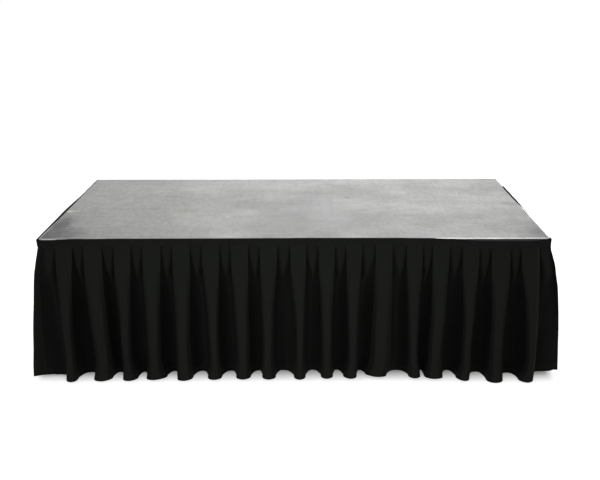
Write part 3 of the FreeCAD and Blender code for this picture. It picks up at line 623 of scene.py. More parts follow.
# recess and shoulder, as shares of the way from the panel's edge to the valley
RECESS_ALONG = [(HEM, 0.42), (0.25, 0.40), (0.39, 0.35), (0.461, 0.25), (0.490, 0.08),
                (0.532, 0.05), (HEADER_BOTTOM, 0.0)]
SHOULDER_ALONG = [(HEM, 0.60), (0.20, 0.70), (0.37, 0.80), (0.436, 0.86), (0.465, 0.88),
                  (0.490, 0.60), (0.532, 0.25), (HEADER_BOTTOM, 0.03)]
# how far back the recess is, as a share of the valley at the hem
RECESS_SINK = [(HEM, 0.75), (0.20, 0.70), (0.39, 0.45), (0.436, 0.28), (0.461, 0.16), (0.485, 0.0)]
# how much of its two sides a corner rounds off
EDGE_ROUND = [(HEM, FULL_ROUND), (0.108, 0.44), (0.25, 0.36), (0.33, 0.30), (0.40, 0.20),
              (0.505, 0.05), (HEADER_BOTTOM, 0.04)]
UNDER_ROUND = [(HEM, FULL_ROUND), (0.39, 0.40), (0.457, 0.20), (0.490, 0.06), (HEADER_BOTTOM, 0.04)]
RECESS_ROUND = [(HEM, FULL_ROUND), (0.39, 0.30), (0.457, 0.12), (0.490, 0.08),
                (HEADER_BOTTOM, 0.05)]
SHOULDER_ROUND = [(HEM, FULL_ROUND), (0.39, 0.40), (0.457, 0.25), (0.490, 0.12),
                  (HEADER_BOTTOM, 0.05)]
# how light a panel's edge is painted, darker low down as painted shade, and how far the one loose
# fold has opened
EDGE_SHADE = [(HEM, 0.30), (0.25, 0.34), (0.36, 0.45), (0.43, 0.70), (0.49, 1.0)]
LOOSE = [(HEM, 1.35), (0.10, 1.0), (0.20, 0.55), (0.32, 0.22), (0.44, 0.0)]
print("halfway up, a panel has swung", round(read(SWING, 0.3), 2), "of its way")

# %% [markdown]
# ### The corners of one fold
# Painted shade goes with the shape: a fold's inside is painted blackest low down, where it is
# deepest, and less so on the flank that is turned to the light. Each corner carries its fading and
# painted shade along with its place, so that the finish follows the fold wherever it moves.

# %% A fold's corners
EDGE_LIT, INSIDE_LIT, SHOULDER_LIT = 0.40, 0.95, 0.70
INSIDE_HIGH, SHOULDER_HIGH, VALLEY_HIGH = 0.25, 0.35, 0.58
INSIDE_OPEN, SHOULDER_LEAST, VALLEY_LEAST = 0.20, 0.10, 0.28
SHOULDER_LIFT, LOOSE_SLACK = 0.06, 0.55


def edge_shade(z, lit):
    """How light a panel's edge is painted: painted shade, lifted where the edge is turned to the
    light.
    """
    worn = read(EDGE_SHADE, z)
    return worn + (1 - worn) * EDGE_LIT * lit


def fold_points(edge, edge_out, valley, valley_out, sink, z, turned_to_light, loose=0.0):
    """The corners from a panel's edge to its valley: (along, out, rounding, fade and shade).

    The flank that is turned to the light is painted lighter. A loose fold has less cloth in it, and
    opens out flat towards the hem.
    """
    way = 1 if valley > edge else -1
    gap = valley - edge
    depth = read(SINK, z)
    lit = turned_to_light * depth
    opened = loose * read(LOOSE, z)
    recess = edge + gap * read(RECESS_ALONG, z)
    recess_out = CLEAR_OF_RAIL + (sink - CLEAR_OF_RAIL) * read(RECESS_SINK, z)
    recess_out += opened * (edge_out + (valley_out - edge_out) * (recess - edge) / gap - recess_out)
    under = edge + way * read(UNDER_ALONG, z) * (1 - LOOSE_SLACK * loose)
    under += opened * ((edge + recess) / 2 - under)
    shoulder_out = valley_out + SHOULDER_LIFT * (edge_out - valley_out) * depth
    rounding = FULL_ROUND * min(1.0, opened)
    # Painted shade: a fold's inside and shoulder are darker where the fold is deep, and lighter on
    # the flank turned to the light.
    inside = INSIDE_HIGH * (1 - depth) + INSIDE_LIT * lit + INSIDE_OPEN * opened
    shoulder = SHOULDER_LEAST + SHOULDER_HIGH * (1 - depth) ** 2 + SHOULDER_LIT * lit
    return [
        (edge, edge_out, max(read(EDGE_ROUND, z), rounding), edge_shade(z, lit)),
        (under, (edge_out + recess_out) / 2, max(read(UNDER_ROUND, z), rounding), inside),
        (recess, recess_out, max(read(RECESS_ROUND, z), rounding), inside),
        (edge + gap * read(SHOULDER_ALONG, z), shoulder_out, read(SHOULDER_ROUND, z), shoulder),
    ]


print("corners from an edge to its valley", len(fold_points(0, 0.06, 0.04, -0.03, -0.03, HEM, 0)))

# %% [markdown]
# ## The front's seventeen pleats
# No two pleats hang alike, so each has its own line: its middle and width at the top, the same near
# the floor and at the hem, how far its nose swings out, and how much it turns to one side. A
# repeated pleat would be less work, but the eye finds a repeat at once.

# %% Front pleats
FRONT_PLEATS = [
    # top middle, width; low middle, width; hem middle, width; swing; turn
    (-0.902, 0.067, -0.905, 0.038, -0.904, 0.044, 0.068, 0.0),
    (-0.789, 0.073, -0.775, 0.067, -0.783, 0.078, 0.058, -0.5),
    (-0.673, 0.067, -0.675, 0.038, -0.669, 0.060, 0.058, -0.4),
    (-0.558, 0.073, -0.567, 0.056, -0.565, 0.084, 0.050, -0.6),
    (-0.442, 0.069, -0.444, 0.058, -0.448, 0.064, 0.060, -0.4),
    (-0.326, 0.069, -0.323, 0.040, -0.325, 0.060, 0.052, 0.0),
    (-0.213, 0.069, -0.207, 0.054, -0.207, 0.062, 0.050, -0.2),
    (-0.099, 0.069, -0.107, 0.042, -0.105, 0.052, 0.052, 0.0),
    (0.017, 0.063, 0.023, 0.038, 0.022, 0.052, 0.052, 0.1),
    (0.129, 0.065, 0.131, 0.042, 0.131, 0.046, 0.046, 0.0),
    (0.236, 0.061, 0.233, 0.042, 0.222, 0.058, 0.046, 0.2),
    (0.354, 0.066, 0.348, 0.086, 0.331, 0.086, 0.030, 0.6),
    (0.473, 0.063, 0.479, 0.042, 0.484, 0.050, 0.046, 0.1),
    (0.576, 0.066, 0.570, 0.054, 0.563, 0.078, 0.052, 0.3),
    (0.693, 0.066, 0.692, 0.038, 0.679, 0.054, 0.060, 0.3),
    (0.810, 0.074, 0.813, 0.050, 0.808, 0.068, 0.069, 0.2),
    (0.925, 0.070, 0.949, 0.038, 0.934, 0.062, 0.070, 0.4),
]
# where each gap's valley is at the hem, and how far back it falls
FRONT_VALLEYS = [-0.954, -0.839, -0.722, -0.622, -0.496, -0.380, -0.259, -0.144, -0.054, 0.077,
                 0.167, 0.264, 0.417, 0.517, 0.624, 0.748, 0.870, 0.990]
FRONT_SINKS = [-0.016, *[-0.030] * 3, *[-0.037] * 4, *[-0.041] * 3, *[-0.037] * 5, -0.028, -0.018]
print("front pleats", len(FRONT_PLEATS), "and gaps", len(FRONT_VALLEYS))

# %% [markdown]
# ## The corners and the ends
# At the front left corner one panel is folded round the corner, and at the front right the corner
# comes in a gap. A corner is a line from the header to the hem that the two sides share, so that
# no gap opens between them. The ends have eight and nine pleats at the front's spacing, and small
# changes keep them from being alike.

# %% Corners and end pleats
HALF_LENGTH, END_LENGTH = 1.0, 1.0
LEFT_CORNER_OUT = [(HEM, 0.072), (0.066, 0.0685), (0.222, 0.054), (0.389, 0.036), (0.461, 0.0273),
                   (0.489, 0.0213), (0.513, 0.016), (0.537, 0.0102), (0.561, 0.0048),
                   (HEADER_BOTTOM, 0.0034)]
LEFT_CORNER_AHEAD = [(HEM, 0.008), (0.40, 0.006), (0.50, 0.006), (HEADER_BOTTOM, 0.0034)]
RIGHT_CORNER_OUT = [(HEM, 0.083), (0.042, 0.081), (0.21, 0.069), (0.389, 0.0474), (0.458, 0.032),
                    (0.489, 0.0256), (0.513, 0.018), (0.536, 0.0106), (0.556, 0.0044),
                    (HEADER_BOTTOM, 0.0028)]
RIGHT_CORNER_AHEAD = [(HEM, -0.030), (0.25, -0.016), (0.40, -0.004), (0.50, 0.004),
                      (HEADER_BOTTOM, 0.0034)]
END_PITCH, END_WIDTH, END_LOW_WIDTH = 0.114, 0.068, 0.038


def end_pleats(first, shifts, swing):
    """The pleats of one end, from its front corner to its rear edge, each with a small shift."""
    made = []
    for i, shift in enumerate(shifts):
        middle = first + END_PITCH * i
        low = middle + 0.002 * shift
        width = END_LOW_WIDTH + 0.0025 * abs(shift)
        made.append((middle, END_WIDTH, low, width, low + 0.001 * shift, width + 0.008,
                     swing + 0.0015 * shift, 0.1 * shift))
    return made


LEFT_PLEATS = end_pleats(0.130, [3, -4, 2, 5, -3, 1, -5, 3], 0.062)
RIGHT_PLEATS = end_pleats(0.158, [4, -3, 2, -4, 5, -2, 3, -1], 0.070)
print("end pleats", len(LEFT_PLEATS), "left,", len(RIGHT_PLEATS), "right and one at its corner")

# %% [markdown]
# ## A row of one side
# A row is the line that the cloth draws at one height. It goes from panel to panel: down one flank
# into the valley, up the next, and over the panel's nose. Cutting every corner to a short curve
# keeps the same number of points in every row, so that the rows can be joined by faces.

# %% A panel and a valley
LOW, PRESSED = 0.108, 0.53
LEAN_OUT, NOSE_ROUND, HEM_ROUND = 0.014, 0.009, 0.008
WANDER_HEIGHT, WANDER_POWER, VALLEY_MARGIN = 0.5, 0.7, 0.3


def panel_points(pleat, z):
    """A panel's left edge, middle and right edge: (along, out)."""
    top, top_width, low, low_width, hem, hem_width, swing, turn = pleat
    middle = read([(HEM, hem), (LOW, low), (PRESSED, top)], z)
    half = read([(HEM, hem_width), (LOW, low_width), (PRESSED, top_width)], z) / 2
    share = read(SWING, z)
    out = PRESSED_OUT + (swing - PRESSED_OUT) * share
    lean = LEAN_OUT * turn * share
    sides = out - NOSE_ROUND * share - HEM_ROUND * share**6
    return (middle - half, sides - lean), (middle, out), (middle + half, sides + lean)


def valley_place(edge, following, own, z):
    """Where a gap's valley is: midway between two panels at the top, its own place at the hem."""
    midway = (edge + following) / 2
    height = min(1.0, max(0.0, (z - HEM) / WANDER_HEIGHT))
    valley = midway + (own - midway) * (1 - height) ** WANDER_POWER
    margin = VALLEY_MARGIN * (following - edge)
    return min(max(valley, edge + margin), following - margin)


noses = [panel_points(pleat, HEM)[1][1] for pleat in FRONT_PLEATS]
print("noses swing out by", min(noses), "to", max(noses), "m")


# %% All the corners of a row
LIGHT_TURNS = 0.30


def row_points(start, pleats, valleys, sinks, finish, z, middle_at=0.0, loose=0.0, edge_glint=1.0):
    """All the corners of one row of cloth, from the side's start to its finish.

    The flanks turned away from middle_at are turned to the light, and are painted lighter. loose is
    for the first fold, and the last argument is how light the last panel's pressed edge is painted:
    above 1, a painted highlight.
    """
    panels = [panel_points(pleat, z) for pleat in pleats]
    row = list(start)
    edge, edge_out = start[-1][:2]
    depth, tongue = read(SINK, z), read(TONGUE, z)
    # Painted shade in the valleys: darkest where a fold is deepest.
    valley_shade = VALLEY_LEAST + VALLEY_HIGH * (1 - depth) ** 1.5
    for i, (own, sink) in enumerate(zip(valleys, sinks)):
        panel = panels[i] if i < len(panels) else None
        following = panel[0][0] if panel else finish[0][0]
        valley = valley_place(edge, following, own, z)
        valley_out = tongue + (sink - tongue) * depth
        past = slope(valley - middle_at, -LIGHT_TURNS, LIGHT_TURNS)
        slack = loose if i == 0 else 0.0
        row += fold_points(edge, edge_out, valley, valley_out, sink, z, past, slack)[1:]
        row.append((valley, valley_out, FULL_ROUND, valley_shade))
        if panel:
            left, nose, (edge, edge_out) = panel
            row += fold_points(*left, valley, valley_out, sink, z, 1 - past)[::-1]
            row.append((*nose, FULL_ROUND, 1.0))
            # A panel's edge is painted as shade, lighter where it is turned to the light; the last
            # panel's pressed edge gets a painted highlight.
            lit = slope(edge - middle_at, -LIGHT_TURNS, LIGHT_TURNS) * depth
            worn = edge_glint if i == len(panels) - 1 else edge_shade(z, lit)
            row.append((edge, edge_out, read(EDGE_ROUND, z), worn))
    return row + list(finish)


def rounded_row(row):
    """The row with each corner cut to a short curve of four points: (along, out, fade and shade).
    """
    line = [(row[0][0], row[0][1], row[0][3])]
    for before, here, after in zip(row, row[1:], row[2:]):
        share = here[2]
        for t in (0.0, 1 / 3, 2 / 3, 1.0):
            a, b, c = (1 - t) ** 2, 2 * t * (1 - t), t * t
            point = []
            for k in (0, 1):
                first = here[k] + (before[k] - here[k]) * share
                second = here[k] + (after[k] - here[k]) * share
                point.append(a * first + b * here[k] + c * second)
            line.append((point[0], point[1], here[3]))
    line.append((row[-1][0], row[-1][1], row[-1][3]))
    return line


step = rounded_row([(0, 0, 0, 1), (1, 0, 0.4, 1), (1, 1, 0, 1)])
print("a step with one corner becomes", len(step), "points")

# %% [markdown]
# ## Cutting the sheet
# Rows are close together at the top, where the folds change quickly, and wider apart below. Each
# row becomes a line of vertices, and neighbouring rows are joined by faces. The cloth's own UV map
# measures along the row and down the cloth, so that the weave keeps its size. A Solidify modifier
# then gives the cloth its thickness. Two slow waves of noise, which grow towards the hem, keep the
# folds from hanging ruler-straight.

# %% The rows, and how cloth strays
CLOTH_TOP = 0.590
CLOSE_ROWS, CLOSE_STEP, WIDE_ROWS = 13, 0.008, 38
ROWS = [CLOTH_TOP, 0.575] + [HEADER_BOTTOM - CLOSE_STEP * i for i in range(CLOSE_ROWS)]
ROWS += [ROWS[-1] - (ROWS[-1] - HEM) * (i + 1) / WIDE_ROWS for i in range(WIDE_ROWS)]
RIPPLE = (16, 7, 3.1, 0.0040)
DRIFT = (8, 6, 8.7, 0.0080)


def stray(waves, along, z, hang):
    """How far a point strays: waves along and up, where in the noise, and the size at the hem."""
    waves_along, waves_up, where, size = waves
    return noise.noise(Vector((along * waves_along, z * waves_up, where))) * size * hang


print("rows", len(ROWS), "from", ROWS[0], "down to", round(ROWS[-1], 3))


# %% The cloth before it has a thickness
def sheet_mesh(name, lines, place, flip, droop):
    """A side's faces, its UV map and its painted fading and shade, from the lines of all its rows.
    """
    count = len(lines[0])
    vertices, fading_and_shade, flat, faces = [], [], [], []
    for z, line in zip(ROWS, lines):
        hang = max(0.0, (HEADER_BOTTOM - z) / HEADER_BOTTOM)
        reach = 0.0
        for i, (along, out, fade_and_shade) in enumerate(line):
            if i:
                reach += math.dist((along, out), line[i - 1][:2])
            x, y = place(along + stray(DRIFT, along, z, hang), out + stray(RIPPLE, along, z, hang))
            vertices.append((x, y, z - droop(along, hang)))
            fading_and_shade.append(fade_and_shade)
            flat.append((reach, CLOTH_TOP - z))
    for r in range(len(ROWS) - 1):
        for c in range(count - 1):
            a, b = r * count + c, (r + 1) * count + c
            faces.append((a, a + 1, b + 1, b) if flip else (a, b, b + 1, a + 1))
    mesh = bpy.data.meshes.new(name)
    mesh.from_pydata(vertices, [], faces)
    layer = mesh.uv_layers.new(name="cloth")
    for loop in mesh.loops:
        layer.data[loop.index].uv = flat[loop.vertex_index]
    # Each point's fading and painted shade, for the finish to read.
    mesh.attributes.new("fade_and_shade", "FLOAT", "POINT").data.foreach_set("value", fading_and_shade)
    return mesh


print("strips of faces in a side", len(ROWS) - 1)


# %% Build one side of the skirt
CLOTH_THICKNESS = 0.0008


def build_skirt(name, corners_at, place, flip, droop):
    """A pleated sheet. corners_at gives a row's corners, and place turns (along, out) into x, y."""
    lines = [rounded_row(corners_at(z)) for z in ROWS]
    sheet = bpy.data.objects.new(name, sheet_mesh(name, lines, place, flip, droop))
    bpy.context.scene.collection.objects.link(sheet)
    sheet.data.materials.append(finishes["skirt_cloth"])
    bpy.ops.object.select_all(action="DESELECT")
    sheet.select_set(True)
    bpy.context.view_layer.objects.active = sheet
    thick = sheet.modifiers.new("thickness", "SOLIDIFY")
    thick.thickness = CLOTH_THICKNESS
    thick.offset = 0.0
    bpy.ops.object.modifier_apply(modifier=thick.name)
    bpy.ops.object.shade_smooth_by_angle(angle=math.radians(50))
    middle_row = lines[len(lines) // 2]
    width = sum(math.dist(a[:2], b[:2]) for a, b in zip(middle_row, middle_row[1:]))
    print(name, "columns", len(middle_row), "cloth width halfway down", round(width, 3), "m")
    return sheet


print("cloth thickness", CLOTH_THICKNESS, "m")

# %% [markdown]
# ## Where a side hangs
# A side is drawn as if it were laid along a line: how far along it a point is, and how far out from
# the rail. Three small functions turn that into x and y for the front, the left and the right end,
# and the header bands use them again. The cloth also hangs lower where its header has slipped down,
# so the line of the header's top is written here first.

# %% Places on the three sides
FACE_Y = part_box("rail_front")[0].y
FRONT_TOP = [(-1.0, 0.0), (-0.99, -0.0015), (-0.978, -0.0040), (-0.950, -0.0040), (-0.925, 0.0008),
             (-0.75, 0.0018), (-0.40, 0.0024), (0.0, 0.0032), (0.25, 0.0036), (0.42, 0.0026),
             (0.54, 0.0018), (0.593, -0.0004), (0.65, -0.0024), (0.70, -0.0068), (0.73, -0.0090),
             (0.866, -0.0102), (0.93, -0.0092), (0.963, -0.0068), (0.985, -0.0026), (1.0, 0.0010)]


def on_front(along, out):
    """On the front, along is x."""
    return along, FACE_Y - out


def on_left(along, out):
    """On the ends, along runs back from the front rail's face."""
    return -HALF_LENGTH - out, FACE_Y + along


def on_right(along, out):
    """The right end is the left one's mirror image."""
    return HALF_LENGTH + out, FACE_Y + along


def front_droop(along, hang):
    """How far the cloth has slipped down: where its header has, and towards the left hem."""
    return max(0.0, -read(FRONT_TOP, along)) + (0.002 - 0.004 * along) * hang


def left_droop(along, hang):
    """The left end hangs a little low."""
    return 0.006 * hang


def right_droop(along, hang):
    """The right end hangs a little high."""
    return -0.002 * hang


print("the front rail's face is at y", round(FACE_Y, 4))

# %% [markdown]
# ## The front cloth
# The front row starts on the left corner's line and finishes on the right corner's. Its first fold
# has come loose and opens flat towards the hem. At the right corner the cloth turns in a gap, with
# a small fold high up that is painted dark as shade, and its last panel has a pressed edge with a
# painted highlight.

# %% Front cloth
LEFT_EDGE, LEFT_EDGE_SWING, LEFT_EDGE_BACK = -0.982, 0.045, 0.010
RIGHT_GAP, RIGHT_GAP_SWING, RIGHT_GAP_BACK = 0.998, 0.055, 0.024
# The first number paints a highlight on the last panel's pressed edge.
LAST_EDGE_GLINT, ALL_LOOSE = 1.25, 1.0
# How light the corner lines are painted: painted shade, darkest in the right corner's fold high up.
CORNER_SHADE = [(HEM, 0.90), (0.20, 0.75), (0.33, 0.55), (0.45, 0.25), (0.54, 0.25),
               (HEADER_BOTTOM, 0.6)]
CORNER_FOLD_SHADE = [(HEM, 0.60), (0.20, 0.40), (0.33, 0.10), (0.42, 0.0), (0.54, 0.0),
               (HEADER_BOTTOM, 0.3)]


def left_corner(z):
    """How far the left corner's line is beside the deck, and how far ahead of the front rail."""
    return read(LEFT_CORNER_OUT, z), read(LEFT_CORNER_AHEAD, z)


def right_corner(z):
    """The same for the right corner's line."""
    return read(RIGHT_CORNER_OUT, z), read(RIGHT_CORNER_AHEAD, z)


def front_row(z):
    """The front's corners, with along as x."""
    share = read(SWING, z)
    beside, out = left_corner(z)
    start = [
        (-HALF_LENGTH - beside, out, 0.0, 0.9),
        (LEFT_EDGE - LEFT_EDGE_SWING * share, PRESSED_OUT - LEFT_EDGE_BACK * share,
         FULL_ROUND, 0.55),
    ]
    beside, out = right_corner(z)
    fold = slope(z, 0.30, 0.40) * (1 - slope(z, 0.52, HEADER_BOTTOM))
    # The finish points are painted dark, as shade, in the corner's fold.
    finish = [
        (RIGHT_GAP + RIGHT_GAP_SWING * share, PRESSED_BACK - RIGHT_GAP_BACK * read(SINK, z), 0.3,
         0.35 - 0.28 * fold),
        (HALF_LENGTH + beside - 0.012 * share - 0.004 * fold, out - 0.002 * share - 0.010 * fold,
         0.2, read(CORNER_FOLD_SHADE, z)),
        (HALF_LENGTH + beside, out, 0.0, read(CORNER_SHADE, z)),
    ]
    return row_points(start, FRONT_PLEATS, FRONT_VALLEYS, FRONT_SINKS, finish, z, 0.0,
                      ALL_LOOSE, LAST_EDGE_GLINT)


skirt_front = build_skirt("front_skirt_cloth", front_row, on_front, False, front_droop)

# %% [markdown]
# ## The end cloths
# An end starts on the corner's line that it shares with the front, and finishes a few millimetres
# inside its rear edge. Its valleys lie midway between the hems of its pleats. Each end is seen only
# at a slant, so one function with a few numbers is enough for both.

# %% End cloths
END_SINK, REAR_GAP = -0.040, 0.002


def end_row(z, corner, corner_shade, edge_top, edge_hem, pleats):
    """An end's corners, with along from the front face to the rear."""
    beside, ahead_of_face = corner(z)
    share = read(SWING, z)
    corner_edge = edge_top + (edge_hem - edge_top) * share
    # The corner's point takes the painted shade that it is given.
    start = [
        (-ahead_of_face, beside, 0.0, corner_shade),
        (corner_edge, beside - 0.004 * share, read(EDGE_ROUND, z), 1.0),
    ]
    rear = [(END_LENGTH - REAR_GAP, PRESSED_BACK + 0.018 * share, 0.0, 0.8)]
    edges = [corner_edge] + [pleat[4] + pleat[5] / 2 for pleat in pleats]
    nexts = [pleat[4] - pleat[5] / 2 for pleat in pleats] + [END_LENGTH]
    valleys = [(a + b) / 2 for a, b in zip(edges, nexts)]
    return row_points(start, pleats, valleys, [END_SINK] * len(valleys), rear, z, END_LENGTH / 2)


skirt_left = build_skirt(
    "left_skirt_cloth", lambda z: end_row(z, left_corner, 0.9, 0.050, 0.044, LEFT_PLEATS),
    on_left, True, left_droop)
skirt_right = build_skirt(
    "right_skirt_cloth",
    lambda z: end_row(z, right_corner, read(CORNER_SHADE, z), 0.076, 0.082, RIGHT_PLEATS),
    on_right, False, right_droop)

# %% [markdown]
# ## Tell the frame about the cloths
# The frame has a plain wall for each side. Each cloth takes the place of its wall, and rides on the
# body that doesn't move, since the tape holds it to the rails.

# %% The cloths take their places
for cloth, node in ((skirt_front, "skirt_front"), (skirt_left, "skirt_left"),
                    (skirt_right, "skirt_right")):
    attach(cloth, "root")
    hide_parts(node)
print("cloths", skirt_front.name, skirt_left.name, skirt_right.name)

# %% [markdown]
# ## The header band
# The pleats are stitched into a flat band, which is pressed onto the tape along the rails. Two rows
# of stitches run along it, and its top is turned in over the deck's rim. It could be an extruded
# strip, but it isn't straight: it swells a little over each panel, sags where the tape has let go,
# and at the right end it is pulled thin. So it is a bar that is cut along its length, and each
# cut's points are then moved.
#
# First, what the pleats behind the band do to it.

# %% What shows through the band
PANEL_SLOPE, FOLD_REACH = 0.006, 0.0045


def on_panel(along, pleats):
    """1 where a panel lies behind the band, and 0 over a gap, with a short slope between."""
    inside = max(pleat[1] / 2 - abs(along - pleat[0]) for pleat in pleats)
    return min(1.0, max(0.0, 0.5 + inside / PANEL_SLOPE))


def at_fold(along, pleats):
    """1 on the edge of a panel behind the band, falling to 0 a few millimetres away."""
    nearest = min(abs(abs(along - pleat[0]) - pleat[1] / 2) for pleat in pleats)
    return max(0.0, 1 - nearest / FOLD_REACH)


def band_shade(along, pleats):
    """How light the band is painted: darker at the ends, and painted shade over gaps and fold
    lines.
    """
    ends = 0.25 * (1 - slope(along, -1.0, -0.6)) + 0.15 * slope(along, 0.7, 1.0)
    return 0.88 + 0.12 * on_panel(along, pleats) - 0.28 * at_fold(along, pleats) - ends


print("fading over a panel and over a gap",
      round(band_shade(FRONT_PLEATS[8][0], FRONT_PLEATS), 2),
      round(band_shade((FRONT_PLEATS[8][0] + FRONT_PLEATS[9][0]) / 2, FRONT_PLEATS), 2))

# %% [markdown]
# ### Cutting the bar
# The bar starts as a cube. It is stretched to the band's size and its long edges are rounded with a
# bevel. It is then cut level just under the top, and in and beside the two grooves that the
# stitches draw in. At last its long edges are divided by a hundred cuts, which is the most that one
# step of subdividing makes: a point every 20 mm on the front, and every 10 mm on the ends.

# %% Cut the bar
HEADER_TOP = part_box("skirt_header_front")[1].z
HEADER_HEIGHT = HEADER_TOP - HEADER_BOTTOM
BAND_BACK, BAND_FRONT, BAND_ROUND = 0.0024, 0.0058, 0.0012
GROOVE_ROWS, BESIDE_GROOVE = [0.5725, 0.5845], 0.0012
TOP_BREAK, BAND_CUTS = 0.5955, 100


def select_long_edges(band, length):
    """Selects only the edges that run the length of the band."""
    bpy.ops.mesh.select_all(action="DESELECT")
    bpy.ops.object.mode_set(mode="OBJECT")
    for edge in band.data.edges:
        a, b = (band.data.vertices[v].co for v in edge.vertices)
        edge.select = abs(a.x - b.x) > length / 2
    bpy.ops.object.mode_set(mode="EDIT")


def cut_bar(name, start, length):
    """A straight bar that stands for the band before it is bent, cut wherever it has to bend."""
    bpy.ops.object.select_all(action="DESELECT")
    bpy.ops.mesh.primitive_cube_add(size=1)
    band = bpy.context.object
    band.name = band.data.name = name
    bpy.ops.object.mode_set(mode="EDIT")
    bpy.ops.mesh.select_mode(type="EDGE")
    bpy.ops.mesh.select_all(action="SELECT")
    bpy.ops.transform.resize(value=(length, BAND_FRONT - BAND_BACK, HEADER_HEIGHT))
    middle = (start + length / 2, (BAND_FRONT + BAND_BACK) / 2, HEADER_TOP - HEADER_HEIGHT / 2)
    bpy.ops.transform.translate(value=middle)
    select_long_edges(band, length)
    bpy.ops.mesh.bevel(offset=BAND_ROUND, segments=2, affect="EDGES")
    beside = (-BESIDE_GROOVE, 0.0, BESIDE_GROOVE)
    for height in [row + step for row in GROOVE_ROWS for step in beside] + [TOP_BREAK]:
        bpy.ops.mesh.select_all(action="SELECT")
        bpy.ops.mesh.bisect(plane_co=(0, 0, height), plane_no=(0, 0, 1))
    select_long_edges(band, length)
    bpy.ops.mesh.subdivide(number_cuts=BAND_CUTS)
    bpy.ops.object.mode_set(mode="OBJECT")
    return band


print("the band is", round(HEADER_HEIGHT, 4), "m high, with grooves at", GROOVE_ROWS)

# %% [markdown]
# ### Bending the band
# The UV map and the painted fading and shade are set while the bar is still straight, when a
# point's x is its place along the cloth. Then each point is moved: out over a panel, in along a
# groove, and at the top out to the edge or in over the rim, as the side's own line says.

# %% Bend the band
WAVE = (7, 1.3, 0.0006)
PANEL_BULGE, LOWER_EDGE_IN = 0.0012, 0.0022
GROOVE_REACH, GROOVE_DEPTH = 0.0010, 0.0014


def bend_band(band, pleats, place, top, rise):
    """Moves each point of a straight bar to where it is on the band."""
    waves, where, size = WAVE
    for vertex in band.data.vertices:
        along, out, z = vertex.co
        face = (out - BAND_BACK) / (BAND_FRONT - BAND_BACK)
        wave = noise.noise(Vector((along * waves, where, 0.0))) * size
        to_groove = min(abs(z - row) for row in GROOVE_ROWS)
        groove = max(0.0, 1 - to_groove / GROOVE_REACH) * GROOVE_DEPTH
        low = 1 - (z - HEADER_BOTTOM) / HEADER_HEIGHT
        bulge = PANEL_BULGE * on_panel(along, pleats) + wave - groove - LOWER_EDGE_IN * low * low
        reach, tuck, thickness = top(along)
        body = BAND_BACK + (out - BAND_BACK) * thickness + face * bulge
        upper = face * (reach + tuck) - tuck
        body += slope(z, TOP_BREAK, HEADER_TOP - BAND_ROUND) * (upper - body)
        x, y = place(along, body)
        vertex.co = (x, y, z + rise(along) + wave * 0.6)


print("a groove is", 1000 * GROOVE_DEPTH, "mm deep")


# %% Build one band
def build_header(name, start, end, pleats, place, top, rise):
    """A stitched band between two places along a side; place turns (along, out) into x and y.

    top gives how far out its upper edge reaches, how far it is turned in over the rim, and how
    thick the band is. rise gives how far its place along the side stands up or has slipped down.
    """
    band = cut_bar(name, start, end - start)
    layer = band.data.uv_layers.active
    for loop in band.data.loops:
        co = band.data.vertices[loop.vertex_index].co
        layer.data[loop.index].uv = (co.x, HEADER_TOP - co.z)
    # The band's painted shade, for the finish to read.
    painted = band.data.attributes.new("fade_and_shade", "FLOAT", "POINT")
    painted.data.foreach_set("value", [band_shade(v.co.x, pleats) for v in band.data.vertices])
    bend_band(band, pleats, place, top, rise)
    band.data.materials.clear()
    band.data.materials.append(finishes["header_band"])
    bpy.ops.object.mode_set(mode="EDIT")
    bpy.ops.mesh.select_all(action="SELECT")
    bpy.ops.mesh.normals_make_consistent(inside=False)
    bpy.ops.object.mode_set(mode="OBJECT")
    bpy.ops.object.shade_smooth_by_angle(angle=math.radians(40))
    print(name, "faces", len(band.data.polygons))
    return band


print("the band is", round(1000 * (BAND_FRONT - BAND_BACK), 1), "mm thick")

# %% [markdown]
# ### The three bands
# On the front the band stands a little over the rim in the middle and is turned in over it there;
# it sags by up to 10 mm at the right, where the tape has let go. On the left end it leans out
# and is turned in. On the right end it lies thin and close at first, and then rises over the rim.

# %% Front band
RIM_CATCH, FRONT_REACH, FRONT_TUCK = 0.0014, 0.0056, 0.0052


def front_rise(along):
    """The top stands a little over the rim in the middle, and has slipped down at the ends."""
    return read(FRONT_TOP, along) + 0.0006 * noise.noise(Vector((along * 11, 5.0, 0.0)))


def front_top(along):
    """The band is turned in only where it stands above the rim."""
    over = slope(front_rise(along), 0.0, RIM_CATCH)
    return FRONT_REACH, -BAND_BACK + over * (BAND_BACK + FRONT_TUCK), 1.0


header_front = build_header(
    "front_header_band", -HALF_LENGTH, HALF_LENGTH, FRONT_PLEATS, on_front, front_top, front_rise)


# %% End bands
OVER_CORNER = 0.0062
LEFT_REACH = [(0.0, 0.0070), (0.10, 0.0085), (0.30, 0.0097), (0.42, 0.0108), (0.55, 0.0085),
              (0.68, 0.0042), (0.81, 0.0026), (1.0, 0.0020)]
RIGHT_REACH, RIGHT_TUCK, THIN = 0.0031, 0.0092, 0.15


def left_top(along):
    """It leans out most just before the middle, and is turned in a little all along."""
    return read(LEFT_REACH, along), 0.0018 + 0.0034 * slope(along, 0.08, 0.30), 1.0


def left_rise(along):
    """Its top is level with the rim, or less than a millimetre above it."""
    return 0.0016 - 0.0004 * slope(along, 0.3, 0.9)


def right_top(along):
    """Thin and not turned in, apart from the stretch in the rear half that lies over the rim."""
    over = slope(along, 0.33, 0.62) * (1 - slope(along, 0.79, 0.93))
    tuck = -BAND_BACK + over * (BAND_BACK + RIGHT_TUCK)
    return RIGHT_REACH - 0.0005 * over, tuck, THIN + (1 - THIN) * over


def right_rise(along):
    """It has slipped down beside the front corner, and from the middle on it is level again."""
    slipped = 0.0020 * slope(along, 0.80, 0.92)
    return 0.0052 * slope(along, 0.28, 0.44) - slipped - 0.0036 * slope(along, 0.0, 0.06)


